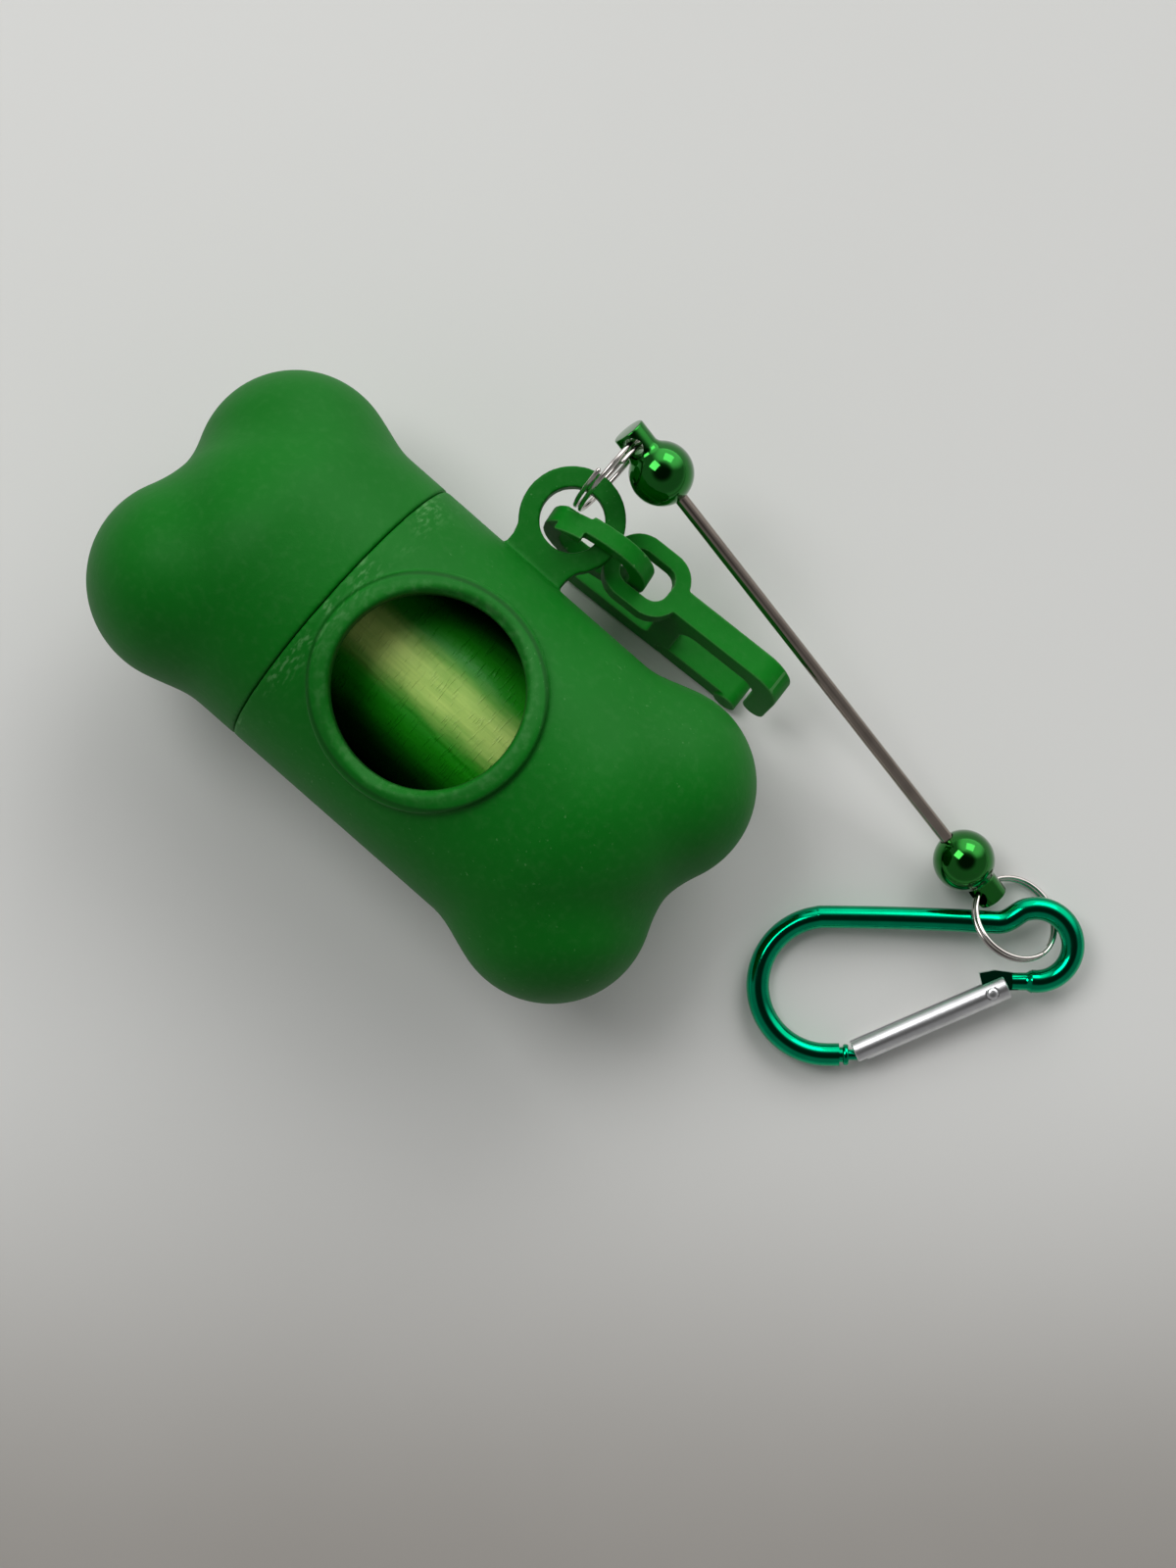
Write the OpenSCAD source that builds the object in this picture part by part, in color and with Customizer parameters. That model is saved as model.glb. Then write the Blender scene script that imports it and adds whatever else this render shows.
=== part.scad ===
// Bone-shaped waste bag dispenser with a snap hook, a bead bar and a small carabiner.
// Millimetres. The housing lies along X on the floor, with its hole facing up.

/* [Housing] */
// Outside diameter of the housing's round middle
shaft_d = 40; // [38:0.5:44]
// Length of the body from the seam to its lobe tips
body_len = 55.9; // [52:0.5:64]
// Length of the cap from the seam to its lobe tips
cap_len = 28.9; // [27:0.5:36]
// Wall thickness of body and cap
wall = 2.2; // [1.8:0.1:2.8]
// Radius of a lobe seen from above
lobe_r = 12.6; // [12:0.1:13.4]
// Distance of a lobe's centre from the long axis
lobe_offset = 9.8; // [8.8:0.1:11]
// Thickness of the lobes from top to bottom
lobe_t = 29; // [26:0.5:34]
// Length over which the round middle domes over at an end
dome_len = 17; // [15:0.5:19]
// Width of the soft blend between lobes and middle
lobe_blend = 2.2; // [1:0.1:5]
// Angle by which the cap stands turned from the body
cap_turn = 17; // [0:1:30]

/* [Neck] */
// Length of the neck that the cap pushes on to
neck_len = 7.5; // [5:0.5:10]
// Wall thickness of the neck
neck_wall = 1.6; // [1.2:0.1:2]
// Gap between neck and cap all round
neck_gap = 0.08; // [0.04:0.01:0.1]
// Width of the fine open line at the seam
seam_gap = 0.3; // [0.2:0.05:0.5]

/* [Dispensing hole] */
// Diameter of the hole that the bags are pulled through
hole_d = 23; // [20:0.5:25]
// Distance of the hole's centre from the seam
hole_x = 15.8; // [15:0.1:22]
// Width of the raised rim round the hole
rim_w = 2.7; // [2:0.1:3.4]
// Height of the rim over the housing
rim_h = 1.2; // [0.6:0.1:2]

/* [Side ring] */
// Distance of the side ring from the seam
lug_x = 13.9; // [12:0.1:18]
// Outside diameter of the side ring
lug_od = 13.4; // [12.6:0.1:14.5]
// Hole diameter of the side ring
lug_id = 8.2; // [8:0.1:9]
// Thickness of the side ring
lug_t = 3; // [2.4:0.1:3.4]
// Distance from the housing's side to the ring's centre
lug_reach = 7.6; // [7:0.1:9]
// Width of the web that carries the ring
lug_web = 8.8; // [7:0.1:10]

/* [Bag roll] */
// Diameter of the wound roll of bags
roll_d = 27; // [24:0.5:29]
// Play at each end of the roll
roll_play = 0.8; // [0.5:0.1:4]
// Hole diameter of the card core
core_id = 11; // [8:0.5:14]
// Wall thickness of the card core
core_wall = 1; // [0.6:0.1:1.5]

/* [Link] */
// Length of the plastic link
link_len = 15; // [14.8:0.1:16]
// Height of the plastic link
link_h = 14.4; // [14:0.1:15]
// Width of the link's strap
link_w = 2.4; // [2.2:0.1:2.6]
// Thickness of the link's strap
link_t = 2.4; // [2:0.1:2.6]
// Turn of the link against the long axis, seen from above
link_yaw = 8.5; // [4:0.5:10]
// Lean of the link away from the housing
link_lean = 12; // [8:1:14]

/* [Snap hook] */
// Length of the hook
hook_len = 32.8; // [31:0.1:36]
// Height of the hook
hook_h = 17; // [16.5:0.1:18]
// Thickness of the hook
hook_t = 3.6; // [3:0.1:4.2]
// Width of the hook's limbs, seen from the side
hook_limb = 3.8; // [3.4:0.1:4.2]
// Lean of the hook away from the housing
hook_lean = 14; // [0:1:16]
// Turn of the hook against the long axis, seen from above
hook_yaw = 3; // [1:0.5:6]
// Length of the eye on top of the hook
eye_len = 11.2; // [11:0.1:13]
// Width of the eye
eye_w = 9.2; // [9:0.1:10]
// Width of the eye's rim
eye_rim = 2.1; // [1.8:0.1:2.2]
// Thickness of the eye
eye_t = 2.6; // [2:0.1:2.8]

/* [Split rings] */
// Mean diameter of both split rings
ring_d = 11.6; // [11.4:0.1:12]
// Wire diameter of the split rings
ring_wire = 0.7; // [0.6:0.05:0.8]

/* [Bead bar] */
// Diameter of the balls
ball_d = 8.1; // [7:0.1:9]
// Diameter of the stub on each ball
stub_d = 4.2; // [4:0.1:4.6]
// Distance from a ball's centre to the end of its stub
stub_reach = 6.8; // [6.6:0.1:7.4]
// Diameter of the cross hole in each stub
cross_d = 2.6; // [2.5:0.1:2.8]
// Distance between the balls' centres
bar_len = 65.7; // [62:0.1:75]
// Diameter of the rod
rod_d = 1.7; // [1.4:0.1:2]
// Turn of the bar against the long axis, seen from above
bar_yaw = 8.8; // [6:0.1:12]

/* [Carabiner] */
// Wire diameter of the carabiner
wire_d = 3.1; // [2.8:0.1:3.3]
// Radius of its wide end, to the middle of the wire
wide_r = 9.1; // [8.9:0.1:10]
// Radius of its narrow end, to the middle of the wire
narrow_r = 4.8; // [4.6:0.1:5]
// Distance between the centres of its two ends
end_dist = 27.4; // [27:0.1:32]
// Offset of the narrow end's centre to the spine's side
end_offset = 5.5; // [5:0.1:6]
// Turn of the carabiner against the long axis, seen from above
carabiner_yaw = 41.3; // [35:0.5:50]
// Diameter of the gate tube
gate_d = 3.3; // [3.2:0.05:3.5]
// Wall thickness of the gate tube
gate_wall = 0.4; // [0.35:0.05:0.5]
// Diameter of the gate's rivet
rivet_d = 1.1; // [0.9:0.05:1.2]

/* [Hidden] */

$fn = 64;
// Smallest gap between neighbours that only lie against each other
lie_gap = 0.3;
// Radial gap of a pin in its bore
pin_gap = 0.04;
plastic = [0.12, 0.50, 0.16];
steel = [0.72, 0.72, 0.74];
anodised = [0.02, 0.48, 0.33];

shaft_r = shaft_d / 2;
axis_z = shaft_r;
socket_r = shaft_r - wall;
neck_r = socket_r - neck_gap;
throat_r = neck_r - neck_wall;
ring_y = shaft_r + lug_reach;

// Distance from the lobe tips back to where a dome starts
dome_back = dome_len + 2.4;
// Straight sides round a form, and rings over its dome, outside and inside
outer_steps = [72, 20];
inner_steps = [36, 10];
// Halvings in the search for the surface along each ray
search_steps = 14;

// Smaller of two distances, blended softly over the width k
function blend(a, b, k) = let (h = max(k - abs(a - b), 0) / k) min(a, b) - h * h * k / 4;

// Distance-like value of a point against an ellipsoid with centre c and radii r
function ball_field(p, c, r) = (norm([for (i = [0:2]) (p[i] - c[i]) / r[i]]) - 1) * min(r);

// The same against a round bar along X that domes over from x = start
function bar_field(p, start, r, dome) = (norm([max(p.x - start, 0) / dome, p.y / r, p.z / r]) - 1) * r;

// The same against a whole end piece of length len, drawn in all over by inset
function end_field(p, len, inset) =
    let (
        radii = [lobe_r - inset, lobe_r - inset, lobe_t / 2 - inset],
        middle = bar_field(p, len - dome_back, shaft_r - inset, dome_len - inset),
        near = ball_field(p, [len - lobe_r, lobe_offset, 0], radii),
        far = ball_field(p, [len - lobe_r, -lobe_offset, 0], radii)
    )
    blend(blend(middle, near, lobe_blend), far, lobe_blend);

// Distance from o along d to the surface, found by halving the stretch from lo to hi
function reach(o, d, len, inset, lo, hi, n) =
    n == 0 ? (lo + hi) / 2
    : let (mid = (lo + hi) / 2)
        end_field(o + d * mid, len, inset) < 0
            ? reach(o, d, len, inset, mid, hi, n - 1)
            : reach(o, d, len, inset, lo, mid, n - 1);

// Faces of a tube of successive rings of n points; a middle point for each end follows the rings
function tube_faces(rings, n) =
    let (foot = rings * n, rim = foot - n)
    [
        for (i = [0:rings - 1], j = [0:n - 1])
            let (k = (j + 1) % n, a = i * n + j, b = i * n + k)
            each i < rings - 1 ? [[a, a + n, b], [b, a + n, b + n]]
                : [[foot, j, k], [foot + 1, rim + k, rim + j]]
    ];

// End piece as a closed solid: flat at x0, rings up the middle, then rays over the dome
module end_solid(x0, len, inset, steps) {
    hub = len - lobe_r - 2;
    n = steps[0];
    middle_rings = [for (t = [0, 0.4, 0.7, 0.85, 0.95, 1]) [x0 + t * (hub - x0), 90]];
    dome_rings = [for (i = [1:steps[1]]) [hub, 90 - i * 88 / steps[1]]];
    rings = concat(middle_rings, dome_rings);
    shell = [
        for (ring = rings, j = [0:n - 1])
            let (
                a = j * 360 / n,
                d = [cos(ring[1]), sin(ring[1]) * cos(a), sin(ring[1]) * sin(a)],
                o = [ring[0], 0, 0]
            )
            o + d * reach(o, d, len, inset, 5, 32, search_steps)
    ];
    tip = [hub + reach([hub, 0, 0], [1, 0, 0], len, inset, 5, 32, search_steps), 0, 0];
    polyhedron(concat(shell, [[x0, 0, 0], tip]), tube_faces(len(rings), n));
}

// Outline through corners [x, y, r], each rounded to its own radius
function rounded(corners, steps = 6) = [
    for (i = [0:len(corners) - 1])
        let (
            n = len(corners),
            c = corners[i],
            p = [c.x, c.y],
            before = corners[(i + n - 1) % n],
            after = corners[(i + 1) % n],
            u = [before.x - c.x, before.y - c.y],
            v = [after.x - c.x, after.y - c.y],
            un = u / norm(u),
            vn = v / norm(v),
            half = acos(un * vn) / 2,
            turn = sign(un.x * vn.y - un.y * vn.x) * (2 * half - 180),
            centre = p + (un + vn) / norm(un + vn) * c.z / sin(half),
            from = p + un * c.z / tan(half) - centre
        )
        each c.z == 0 ? [p] : [
            for (s = [0:steps])
                let (a = turn * s / steps)
                centre + [from.x * cos(a) - from.y * sin(a), from.x * sin(a) + from.y * cos(a)]
        ]
];

// Arc of points round c with radius r, from angle a to angle b
function arc(c, r, a, b, steps) = [for (s = [0:steps]) let (t = a + (b - a) * s / steps) c + r * [cos(t), sin(t)]];

// Solid tube through 3-D points, with a radius at each; up is never parallel to the path
module swept(points, radii, up, sides) {
    n = len(points);
    shell = [
        for (i = [0:n - 1])
            let (
                along = points[min(i + 1, n - 1)] - points[max(i - 1, 0)],
                t = along / norm(along),
                across = cross(up, t),
                s = across / norm(across),
                w = cross(t, s)
            )
            for (j = [0:sides - 1])
                let (a = (j + 0.5) * 360 / sides)
                points[i] + radii[i] * (s * cos(a) + w * sin(a))
    ];
    polyhedron(concat(shell, [points[0], points[n - 1]]), tube_faces(n, sides));
}

// Stands a flat outline up in the XZ plane, centred on it, with thickness t
module upright(t) {
    rotate([90, 0, 0]) linear_extrude(t, center = true) children();
}

// Places children with their X and Z axes along the unit vectors x and z, at o
module stand(o, x, z) {
    y = cross(z, x);
    multmatrix([[x.x, y.x, z.x, o.x], [x.y, y.y, z.y, o.y], [x.z, y.z, z.z, o.z]]) children();
}

// Round bar along the housing's axis
module along_axis(x, length, r) {
    translate([x, 0, axis_z]) rotate([0, 90, 0]) cylinder(h = length, r = r);
}

// The rings bend inside the balls' cross holes, so they are held a little inside their mean line
hold_r = ring_d / 2 - 0.18;

// Upper split ring: it stands across the side ring's outer limb
limb = [lug_x, ring_y + (lug_od + lug_id) / 4, axis_z];
limb_r = norm([(lug_od - lug_id) / 2, lug_t]) / 2;
ring_seat = (ring_d - ring_wire) / 2 - limb_r - lie_gap;
ring_lift = 52;
upper_ring_at = limb + ring_seat * [0, cos(ring_lift), sin(ring_lift)];
upper_hold = 34;
upper_hole_at = upper_ring_at + hold_r * [0, cos(upper_hold), sin(upper_hold)];

// Bead bar: it drops so far that its lower stub lies just over the floor
hole_back = stub_reach - cross_d / 2 - 0.5;
stub_floor = 0.6;
bar_run = bar_len + stub_reach + hole_back;
bar_drop = asin((upper_hole_at.z - stub_floor) / norm([bar_run, stub_d / 2])) - atan2(stub_d / 2, bar_run);
bar_dir = [cos(bar_drop) * cos(bar_yaw), -cos(bar_drop) * sin(bar_yaw), -sin(bar_drop)];
bar_side = [sin(bar_yaw), cos(bar_yaw), 0];
bar_up = cross(bar_dir, bar_side);
upper_ball_at = upper_hole_at + hole_back * bar_dir;
lower_ball_at = upper_ball_at + bar_len * bar_dir;
lower_hole_at = lower_ball_at + hole_back * bar_dir;

// Turn about the stub's direction x that lines a cross hole up with a ring's tangent t
function hole_roll(t, x) = atan2(-t * cross(bar_up, x), t * bar_up);

// Lower split ring: it lies tilted, over the carabiner's spine and under its narrow end
lower_ring_tilt = 31.4;
lower_ring_turn = 5.9;
lower_ring_swing = 166.9;
lower_ring_x = [-cos(lower_ring_turn), -sin(lower_ring_turn), 0];
lower_ring_z = [-sin(lower_ring_tilt) * sin(lower_ring_turn), sin(lower_ring_tilt) * cos(lower_ring_turn),
    cos(lower_ring_tilt)];
lower_ring_y = cross(lower_ring_z, lower_ring_x);
lower_ring_at = lower_hole_at
    + hold_r * (cos(lower_ring_swing) * lower_ring_x + sin(lower_ring_swing) * lower_ring_y);

// Carabiner: its kink runs through the lower split ring, which lifts its narrow end off the floor
kink_at = [24.5, 8.94];
carabiner_tilt = 3.45;

// Link: through the side ring and the hook's eye
link_head = 0.9;
link_at = [lug_x - lug_id / 2 + 1.3 + link_len / 2, ring_y - 0.35,
    axis_z + lug_t / 2 + link_head + link_t - link_h / 2];

// Hook: placed by the middle of its eye
hook_low = hook_h - eye_t / 2;
hook_at = [link_at.x + link_len / 2 - 0.8, ring_y + 1.1,
    hook_low * cos(hook_lean) + hook_t / 2 * sin(hook_lean) + 0.02];
hook_left = -10;
hook_right = hook_left + hook_len;
post_left = eye_len / 2 - eye_rim + 0.5;
post_right = post_left + hook_limb;
nose_left = hook_right - hook_limb + 0.6;
nose_low = 4.2 - hook_low;
tongue_h = hook_limb - 0.4;

// Box round the whole part, for the origin at the middle of its floor
carabiner_end = [end_dist * cos(carabiner_yaw) - end_offset * sin(carabiner_yaw), 0];
kink_turned = [kink_at.x * cos(carabiner_yaw) - kink_at.y * sin(carabiner_yaw), 0];
low_x = -cap_len;
high_x = lower_ring_at.x - kink_turned.x + carabiner_end.x + narrow_r + wire_d / 2;
low_y = -lobe_offset - lobe_r;
high_y = upper_ball_at.y - stub_reach * bar_dir.y + stub_d / 2 * cos(bar_yaw);
part_shift = -[(low_x + high_x) / 2, (low_y + high_y) / 2, 0];

module placed() {
    translate(part_shift) children();
}

module body_shell() {
    color(plastic) placed() difference() {
        union() {
            difference() {
                union() {
                    translate([0, 0, axis_z]) end_solid(0, body_len, 0, outer_steps);
                    intersection() {
                        translate([hole_x, 0, axis_z]) cylinder(h = shaft_r * 2, d = hole_d + 2 * rim_w);
                        along_axis(0.5, body_len * 0.75, shaft_r + rim_h);
                    }
                    side_ring();
                }
                translate([0, 0, axis_z]) end_solid(neck_len / 2, body_len, wall, inner_steps);
            }
            along_axis(-neck_len, neck_len + 1, neck_r);
        }
        along_axis(-neck_len - 1, neck_len * 1.5 + 2, throat_r);
        translate([hole_x, 0, axis_z]) cylinder(h = shaft_r * 2, d = hole_d);
        translate([lug_x, ring_y, 0]) cylinder(h = 2 * axis_z, d = lug_id);
    }
}

// Plate of the side ring, with the web that joins it to the housing
module side_ring() {
    translate([lug_x, 0, axis_z - lug_t / 2]) linear_extrude(lug_t) {
        polygon([[-lug_web / 2, socket_r + 0.8], [lug_web / 2, socket_r + 0.8], [lug_web / 2, shaft_r + 1.4],
            [lug_od * 0.42, ring_y - 1.8], [-lug_od * 0.42, ring_y - 1.8], [-lug_web / 2, shaft_r + 1.4]]);
        translate([0, ring_y]) circle(d = lug_od);
    }
}

module end_cap() {
    color(plastic) placed() translate([0, 0, axis_z]) rotate([-cap_turn, 0, 0]) mirror([1, 0, 0]) difference() {
        end_solid(seam_gap, cap_len, 0, outer_steps);
        end_solid(neck_len + 0.5, cap_len, wall, inner_steps);
        translate([-1, 0, 0]) rotate([0, 90, 0]) cylinder(h = neck_len + 2, r = socket_r);
    }
}

// The roll lies in the neck, a little towards the side ring, and ends where the domes narrow
roll_sink = throat_r - roll_d / 2 - lie_gap;
roll_aside = 38;
dome_room = (dome_len - wall) * sqrt(1 - pow((throat_r - lie_gap) / socket_r, 2)) - dome_back - roll_play;
roll_len = cap_len + body_len + 2 * dome_room;
roll_at = [-cap_len - dome_room, roll_sink * sin(roll_aside), axis_z - roll_sink * cos(roll_aside)];

module bag_roll() {
    color([0.55, 0.75, 0.25]) placed() translate(roll_at) rotate([0, 90, 0]) difference() {
        cylinder(h = roll_len, d = roll_d);
        translate([0, 0, -1]) cylinder(h = roll_len + 2, d = core_id + 2 * core_wall + 2 * pin_gap);
    }
}

module roll_core() {
    color([0.72, 0.6, 0.42]) placed() translate(roll_at) rotate([0, 90, 0]) difference() {
        cylinder(h = roll_len, d = core_id + 2 * core_wall);
        translate([0, 0, -1]) cylinder(h = roll_len + 2, d = core_id);
    }
}

// Closed strap with round ends; two shallow grooves mark where its snap closes
module connecting_link() {
    head_w = link_w + 0.6;
    color(plastic) placed() translate(link_at) rotate([-link_lean, 0, link_yaw]) {
        difference() {
            upright(link_w) link_outline();
            translate([-link_len / 2, link_w / 2 - link_step, link_h / 2 - link_t])
                cube([link_len / 2 - 2.2, link_w, 2 * link_t]);
            translate([2.6, 0, link_h / 2]) rotate([90, 0, 0]) cylinder(h = 2 * link_w, d = 0.5, center = true);
        }
        translate([0, (link_w - head_w) / 2 - link_step, 0]) upright(head_w) intersection() {
            link_outline();
            translate([-link_len / 2 - 1, link_h / 2 - link_t]) square([link_len / 2 - 1.2, link_t + 1]);
        }
    }
}

// Side step of the link's snap head
link_step = 0.45;

module link_outline() {
    difference() {
        long_round(link_len, link_h, link_h / 2 - 0.4);
        long_round(link_len - 2 * link_t, link_h - 2 * link_t, link_h / 2 - 0.4 - link_t);
    }
}

// Flat block of length l and height h with its corners rounded to r
module long_round(l, h, r) {
    polygon(rounded([[-l / 2, -h / 2, r], [l / 2, -h / 2, r], [l / 2, h / 2, r], [-l / 2, h / 2, r]], 10));
}

module on_hook() {
    placed() translate(hook_at) rotate([0, 0, hook_yaw]) rotate([-hook_lean, 0, 0]) children();
}

// Eye, spine, nose, the post behind the eye and the short tail under it
module hook_frame() {
    top = eye_t / 2;
    low = -hook_low;
    color(plastic) on_hook() {
        difference() {
            union() {
                upright(hook_t) difference() {
                    polygon(rounded([
                        [post_left, top, 0], [hook_right, top, 4.6], [hook_right, nose_low, 1.6],
                        [nose_left, nose_low, 1.4], [nose_left, top - hook_limb, 2.6],
                        [post_right, top - hook_limb, 2.4], [post_right, low, 0],
                        [hook_left, low, 1.7], [hook_left, low + tongue_h, 1.6],
                        [post_left, low + tongue_h, 1.2]
                    ]));
                    translate([post_right, low + tongue_h / 2]) circle(r = tongue_h / 2 + pin_gap);
                }
                translate([0, 0, -eye_t / 2]) linear_extrude(eye_t) long_round(eye_len, eye_w, eye_w / 2 - 0.6);
            }
            translate([0, 0, -eye_t]) linear_extrude(2 * eye_t)
                long_round(eye_len - 2 * eye_rim, eye_w - 2 * eye_rim, eye_w / 2 - 0.6 - eye_rim);
        }
    }
}

// Springy tongue that closes the hook's mouth; its tip stands inside the nose
module hook_gate() {
    r = tongue_h / 2;
    tip = nose_left - 0.2 - r - post_right;
    color(plastic) on_hook() translate([post_right, 0, -hook_low + r]) {
        upright(hook_t) {
            circle(r);
            translate([0, -r]) square([tip, 2 * r]);
        }
        translate([tip, 0, 0]) rotate([90, 0, 0]) cylinder(h = hook_t + 0.8, r = r, center = true);
    }
}

// Split ring in its own XY plane: one wire wound twice from angle start, level where it is held
module split_ring(start, held) {
    steps = 72;
    pitch = ring_wire * 1.12;
    turns = 1.94;
    level = (held - start + 360) % 360 / 360 + 0.5;
    points = [
        for (s = [0:steps])
            let (t = s / steps * turns, a = start + t * 360)
            [ring_d / 2 * cos(a), ring_d / 2 * sin(a), (t - level) * pitch]
    ];
    swept(points, [for (p = points) ring_wire / 2], [0, 0, 1], 8);
}

module upper_split_ring() {
    color(steel) placed() stand(upper_ring_at, [0, 1, 0], [1, 0, 0]) split_ring(100, upper_hold);
}

module lower_split_ring() {
    color(steel) placed() stand(lower_ring_at, lower_ring_x, lower_ring_z) split_ring(178, lower_ring_swing + 180);
}

// Ball with its stub along +X; the rod's bore enters from the other side
module ball_end(hole_roll) {
    difference() {
        union() {
            sphere(d = ball_d);
            rotate([0, 90, 0]) cylinder(h = stub_reach, d = stub_d);
        }
        translate([hole_back, 0, 0]) rotate([hole_roll, 0, 0]) cylinder(h = stub_d * 2, d = cross_d, center = true);
        translate([-ball_d, 0, 0]) rotate([0, 90, 0]) cylinder(h = ball_d + 0.5, d = rod_d + 2 * pin_gap);
    }
}

module upper_ball() {
    color(plastic) placed() stand(upper_ball_at, -bar_dir, bar_up)
        ball_end(hole_roll([0, -sin(upper_hold), cos(upper_hold)], -bar_dir));
}

module lower_ball() {
    color(plastic) placed() stand(lower_ball_at, bar_dir, bar_up)
        ball_end(hole_roll(cos(lower_ring_swing) * lower_ring_y - sin(lower_ring_swing) * lower_ring_x, bar_dir));
}

module bar_rod() {
    color(steel) placed() stand(upper_ball_at, bar_up, bar_dir) cylinder(h = bar_len, d = rod_d);
}

module on_carabiner() {
    placed() translate([lower_ring_at.x, lower_ring_at.y, 0]) rotate([0, 0, carabiner_yaw])
        translate([-kink_at.x, -kink_at.y, 0])
        translate([-wide_r - wire_d / 2, 0, 0]) rotate([0, -carabiner_tilt, 0])
        translate([wide_r + wire_d / 2, 0, wire_d / 2]) children();
}

// Points of the carabiner in its own plane, round the middle of its wide end
neck_end = [end_dist - 3.2, 0.7];
rivet_at = [end_dist - 5.85, -0.8];
catch_at = [3.6, -wide_r + 0.4];
gate_dir = (catch_at - rivet_at) / norm(catch_at - rivet_at);
gate_side = [gate_dir.y, -gate_dir.x];
gate_len = norm(catch_at - rivet_at);

// Bent wire: wide end, spine, kink and narrow end, then a thinner neck with a flat tang for the gate
module carabiner_frame() {
    narrow = [end_dist, end_offset];
    path = concat(
        [[1.6, -wide_r]],
        arc([0, 0], wide_r, 270, 90, 24),
        [[8, wide_r - 0.1], [16, wide_r - 0.35], [21, wide_r - 0.6], [22.8, wide_r - 0.65], [24, wide_r - 0.2]],
        arc(narrow, narrow_r, 112, -98, 24)
    );
    neck = [[end_dist - 0.6, end_offset - narrow_r - 0.02], neck_end];
    flat = 1.2;
    color(anodised) on_carabiner() {
        swept([for (p = path) [p.x, p.y, 0]], [for (p = path) wire_d / 2], [0, 0, 1], 12);
        difference() {
            union() {
                swept([for (p = neck) [p.x, p.y, 0]], [for (p = neck) wire_d * 0.38], [0, 0, 1], 12);
                translate([0, 0, -flat / 2]) linear_extrude(flat) {
                    polygon([neck_end + [0.8, 1.1], neck_end + [0.8, -1.1], neck_end + [-0.6, -1.15],
                        rivet_at + [0.4, -0.95], rivet_at + [-0.9, -0.4], rivet_at + [-1.6, 2.6],
                        rivet_at + [0.4, 3.0]]);
                    translate(rivet_at) circle(r = 1.05);
                }
            }
            translate([rivet_at.x, rivet_at.y, -2]) cylinder(h = 4, d = rivet_d + 2 * pin_gap);
        }
        translate([1.4, -wide_r, 0]) rotate([0, 90, 0]) cylinder(h = 1.0, r = wire_d * 0.33);
        translate([2.1, -wide_r, 0]) rotate([0, 90, 0]) cylinder(h = 0.7, r = wire_d * 0.45);
        translate([2.6, -wide_r, 0]) rotate([0, 90, 0]) cylinder(h = 1.6, r = 0.7);
    }
}

// Places children at the rivet, with X along the gate and Y out of the loop
module on_gate() {
    on_carabiner() translate([rivet_at.x, rivet_at.y, 0]) rotate([0, 0, atan2(gate_dir.y, gate_dir.x)]) children();
}

// Gate tube, open along the loop's inside and notched where the catch leaves it
module carabiner_gate() {
    back = 2.2;
    bore_r = gate_d / 2 - gate_wall;
    color(steel) on_gate() difference() {
        translate([-back, 0, 0]) rotate([0, 90, 0]) cylinder(h = gate_len + back, d = gate_d);
        translate([-back - 1, 0, 0]) rotate([0, 90, 0]) cylinder(h = gate_len + back + 2, r = bore_r);
        translate([-back - 1, -gate_d, -0.8]) cube([gate_len + back + 2, gate_d, 1.6]);
        translate([gate_len - 1.3, 0, -0.95]) cube([2, gate_d, 1.9]);
        translate([0, 0, -gate_d]) cylinder(h = 2 * gate_d, d = rivet_d + 2 * pin_gap);
        for (side = [-1, 1]) translate([0, 0, side * (rivet_seat + gate_d / 2)])
            cylinder(h = gate_d, d = head_d + 0.1, center = true);
    }
}

// Rivet heads lie in small flats on the gate
head_d = 1.5;
rivet_seat = gate_d / 2 - 0.15;

module gate_rivet() {
    head = 0.4;
    color(steel) on_gate() {
        cylinder(h = 2 * (rivet_seat + head), d = rivet_d, center = true);
        for (side = [-1, 1]) translate([0, 0, side * (rivet_seat + 0.02 + head / 2)])
            cylinder(h = head, d = head_d, center = true);
    }
}

// Flat spring that lies in the gate and bears on the tang: length, thickness and width
spring_size = [6.5, 0.3, 1];
spring_at = [1.6, 0.55, -spring_size.z / 2];

module gate_spring() {
    color([0.5, 0.5, 0.52]) on_gate() translate(spring_at) cube(spring_size);
}

end_cap();
body_shell();
roll_core();
bag_roll();
connecting_link();
hook_frame();
hook_gate();
upper_split_ring();
upper_ball();
bar_rod();
lower_ball();
lower_split_ring();
carabiner_frame();
carabiner_gate();
gate_rivet();
gate_spring();
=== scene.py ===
"""Dresses the bone-shaped waste bag dispenser for a studio picture.

The packed CAD model is the fixed frame. Shapes are made in millimetres from the middle of the
housing's seam on the floor, with X along the housing, and settle() moves them into the frame.
"""

import math
from types import SimpleNamespace

import bpy
import numpy as np
from mathutils import Matrix, Vector


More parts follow.
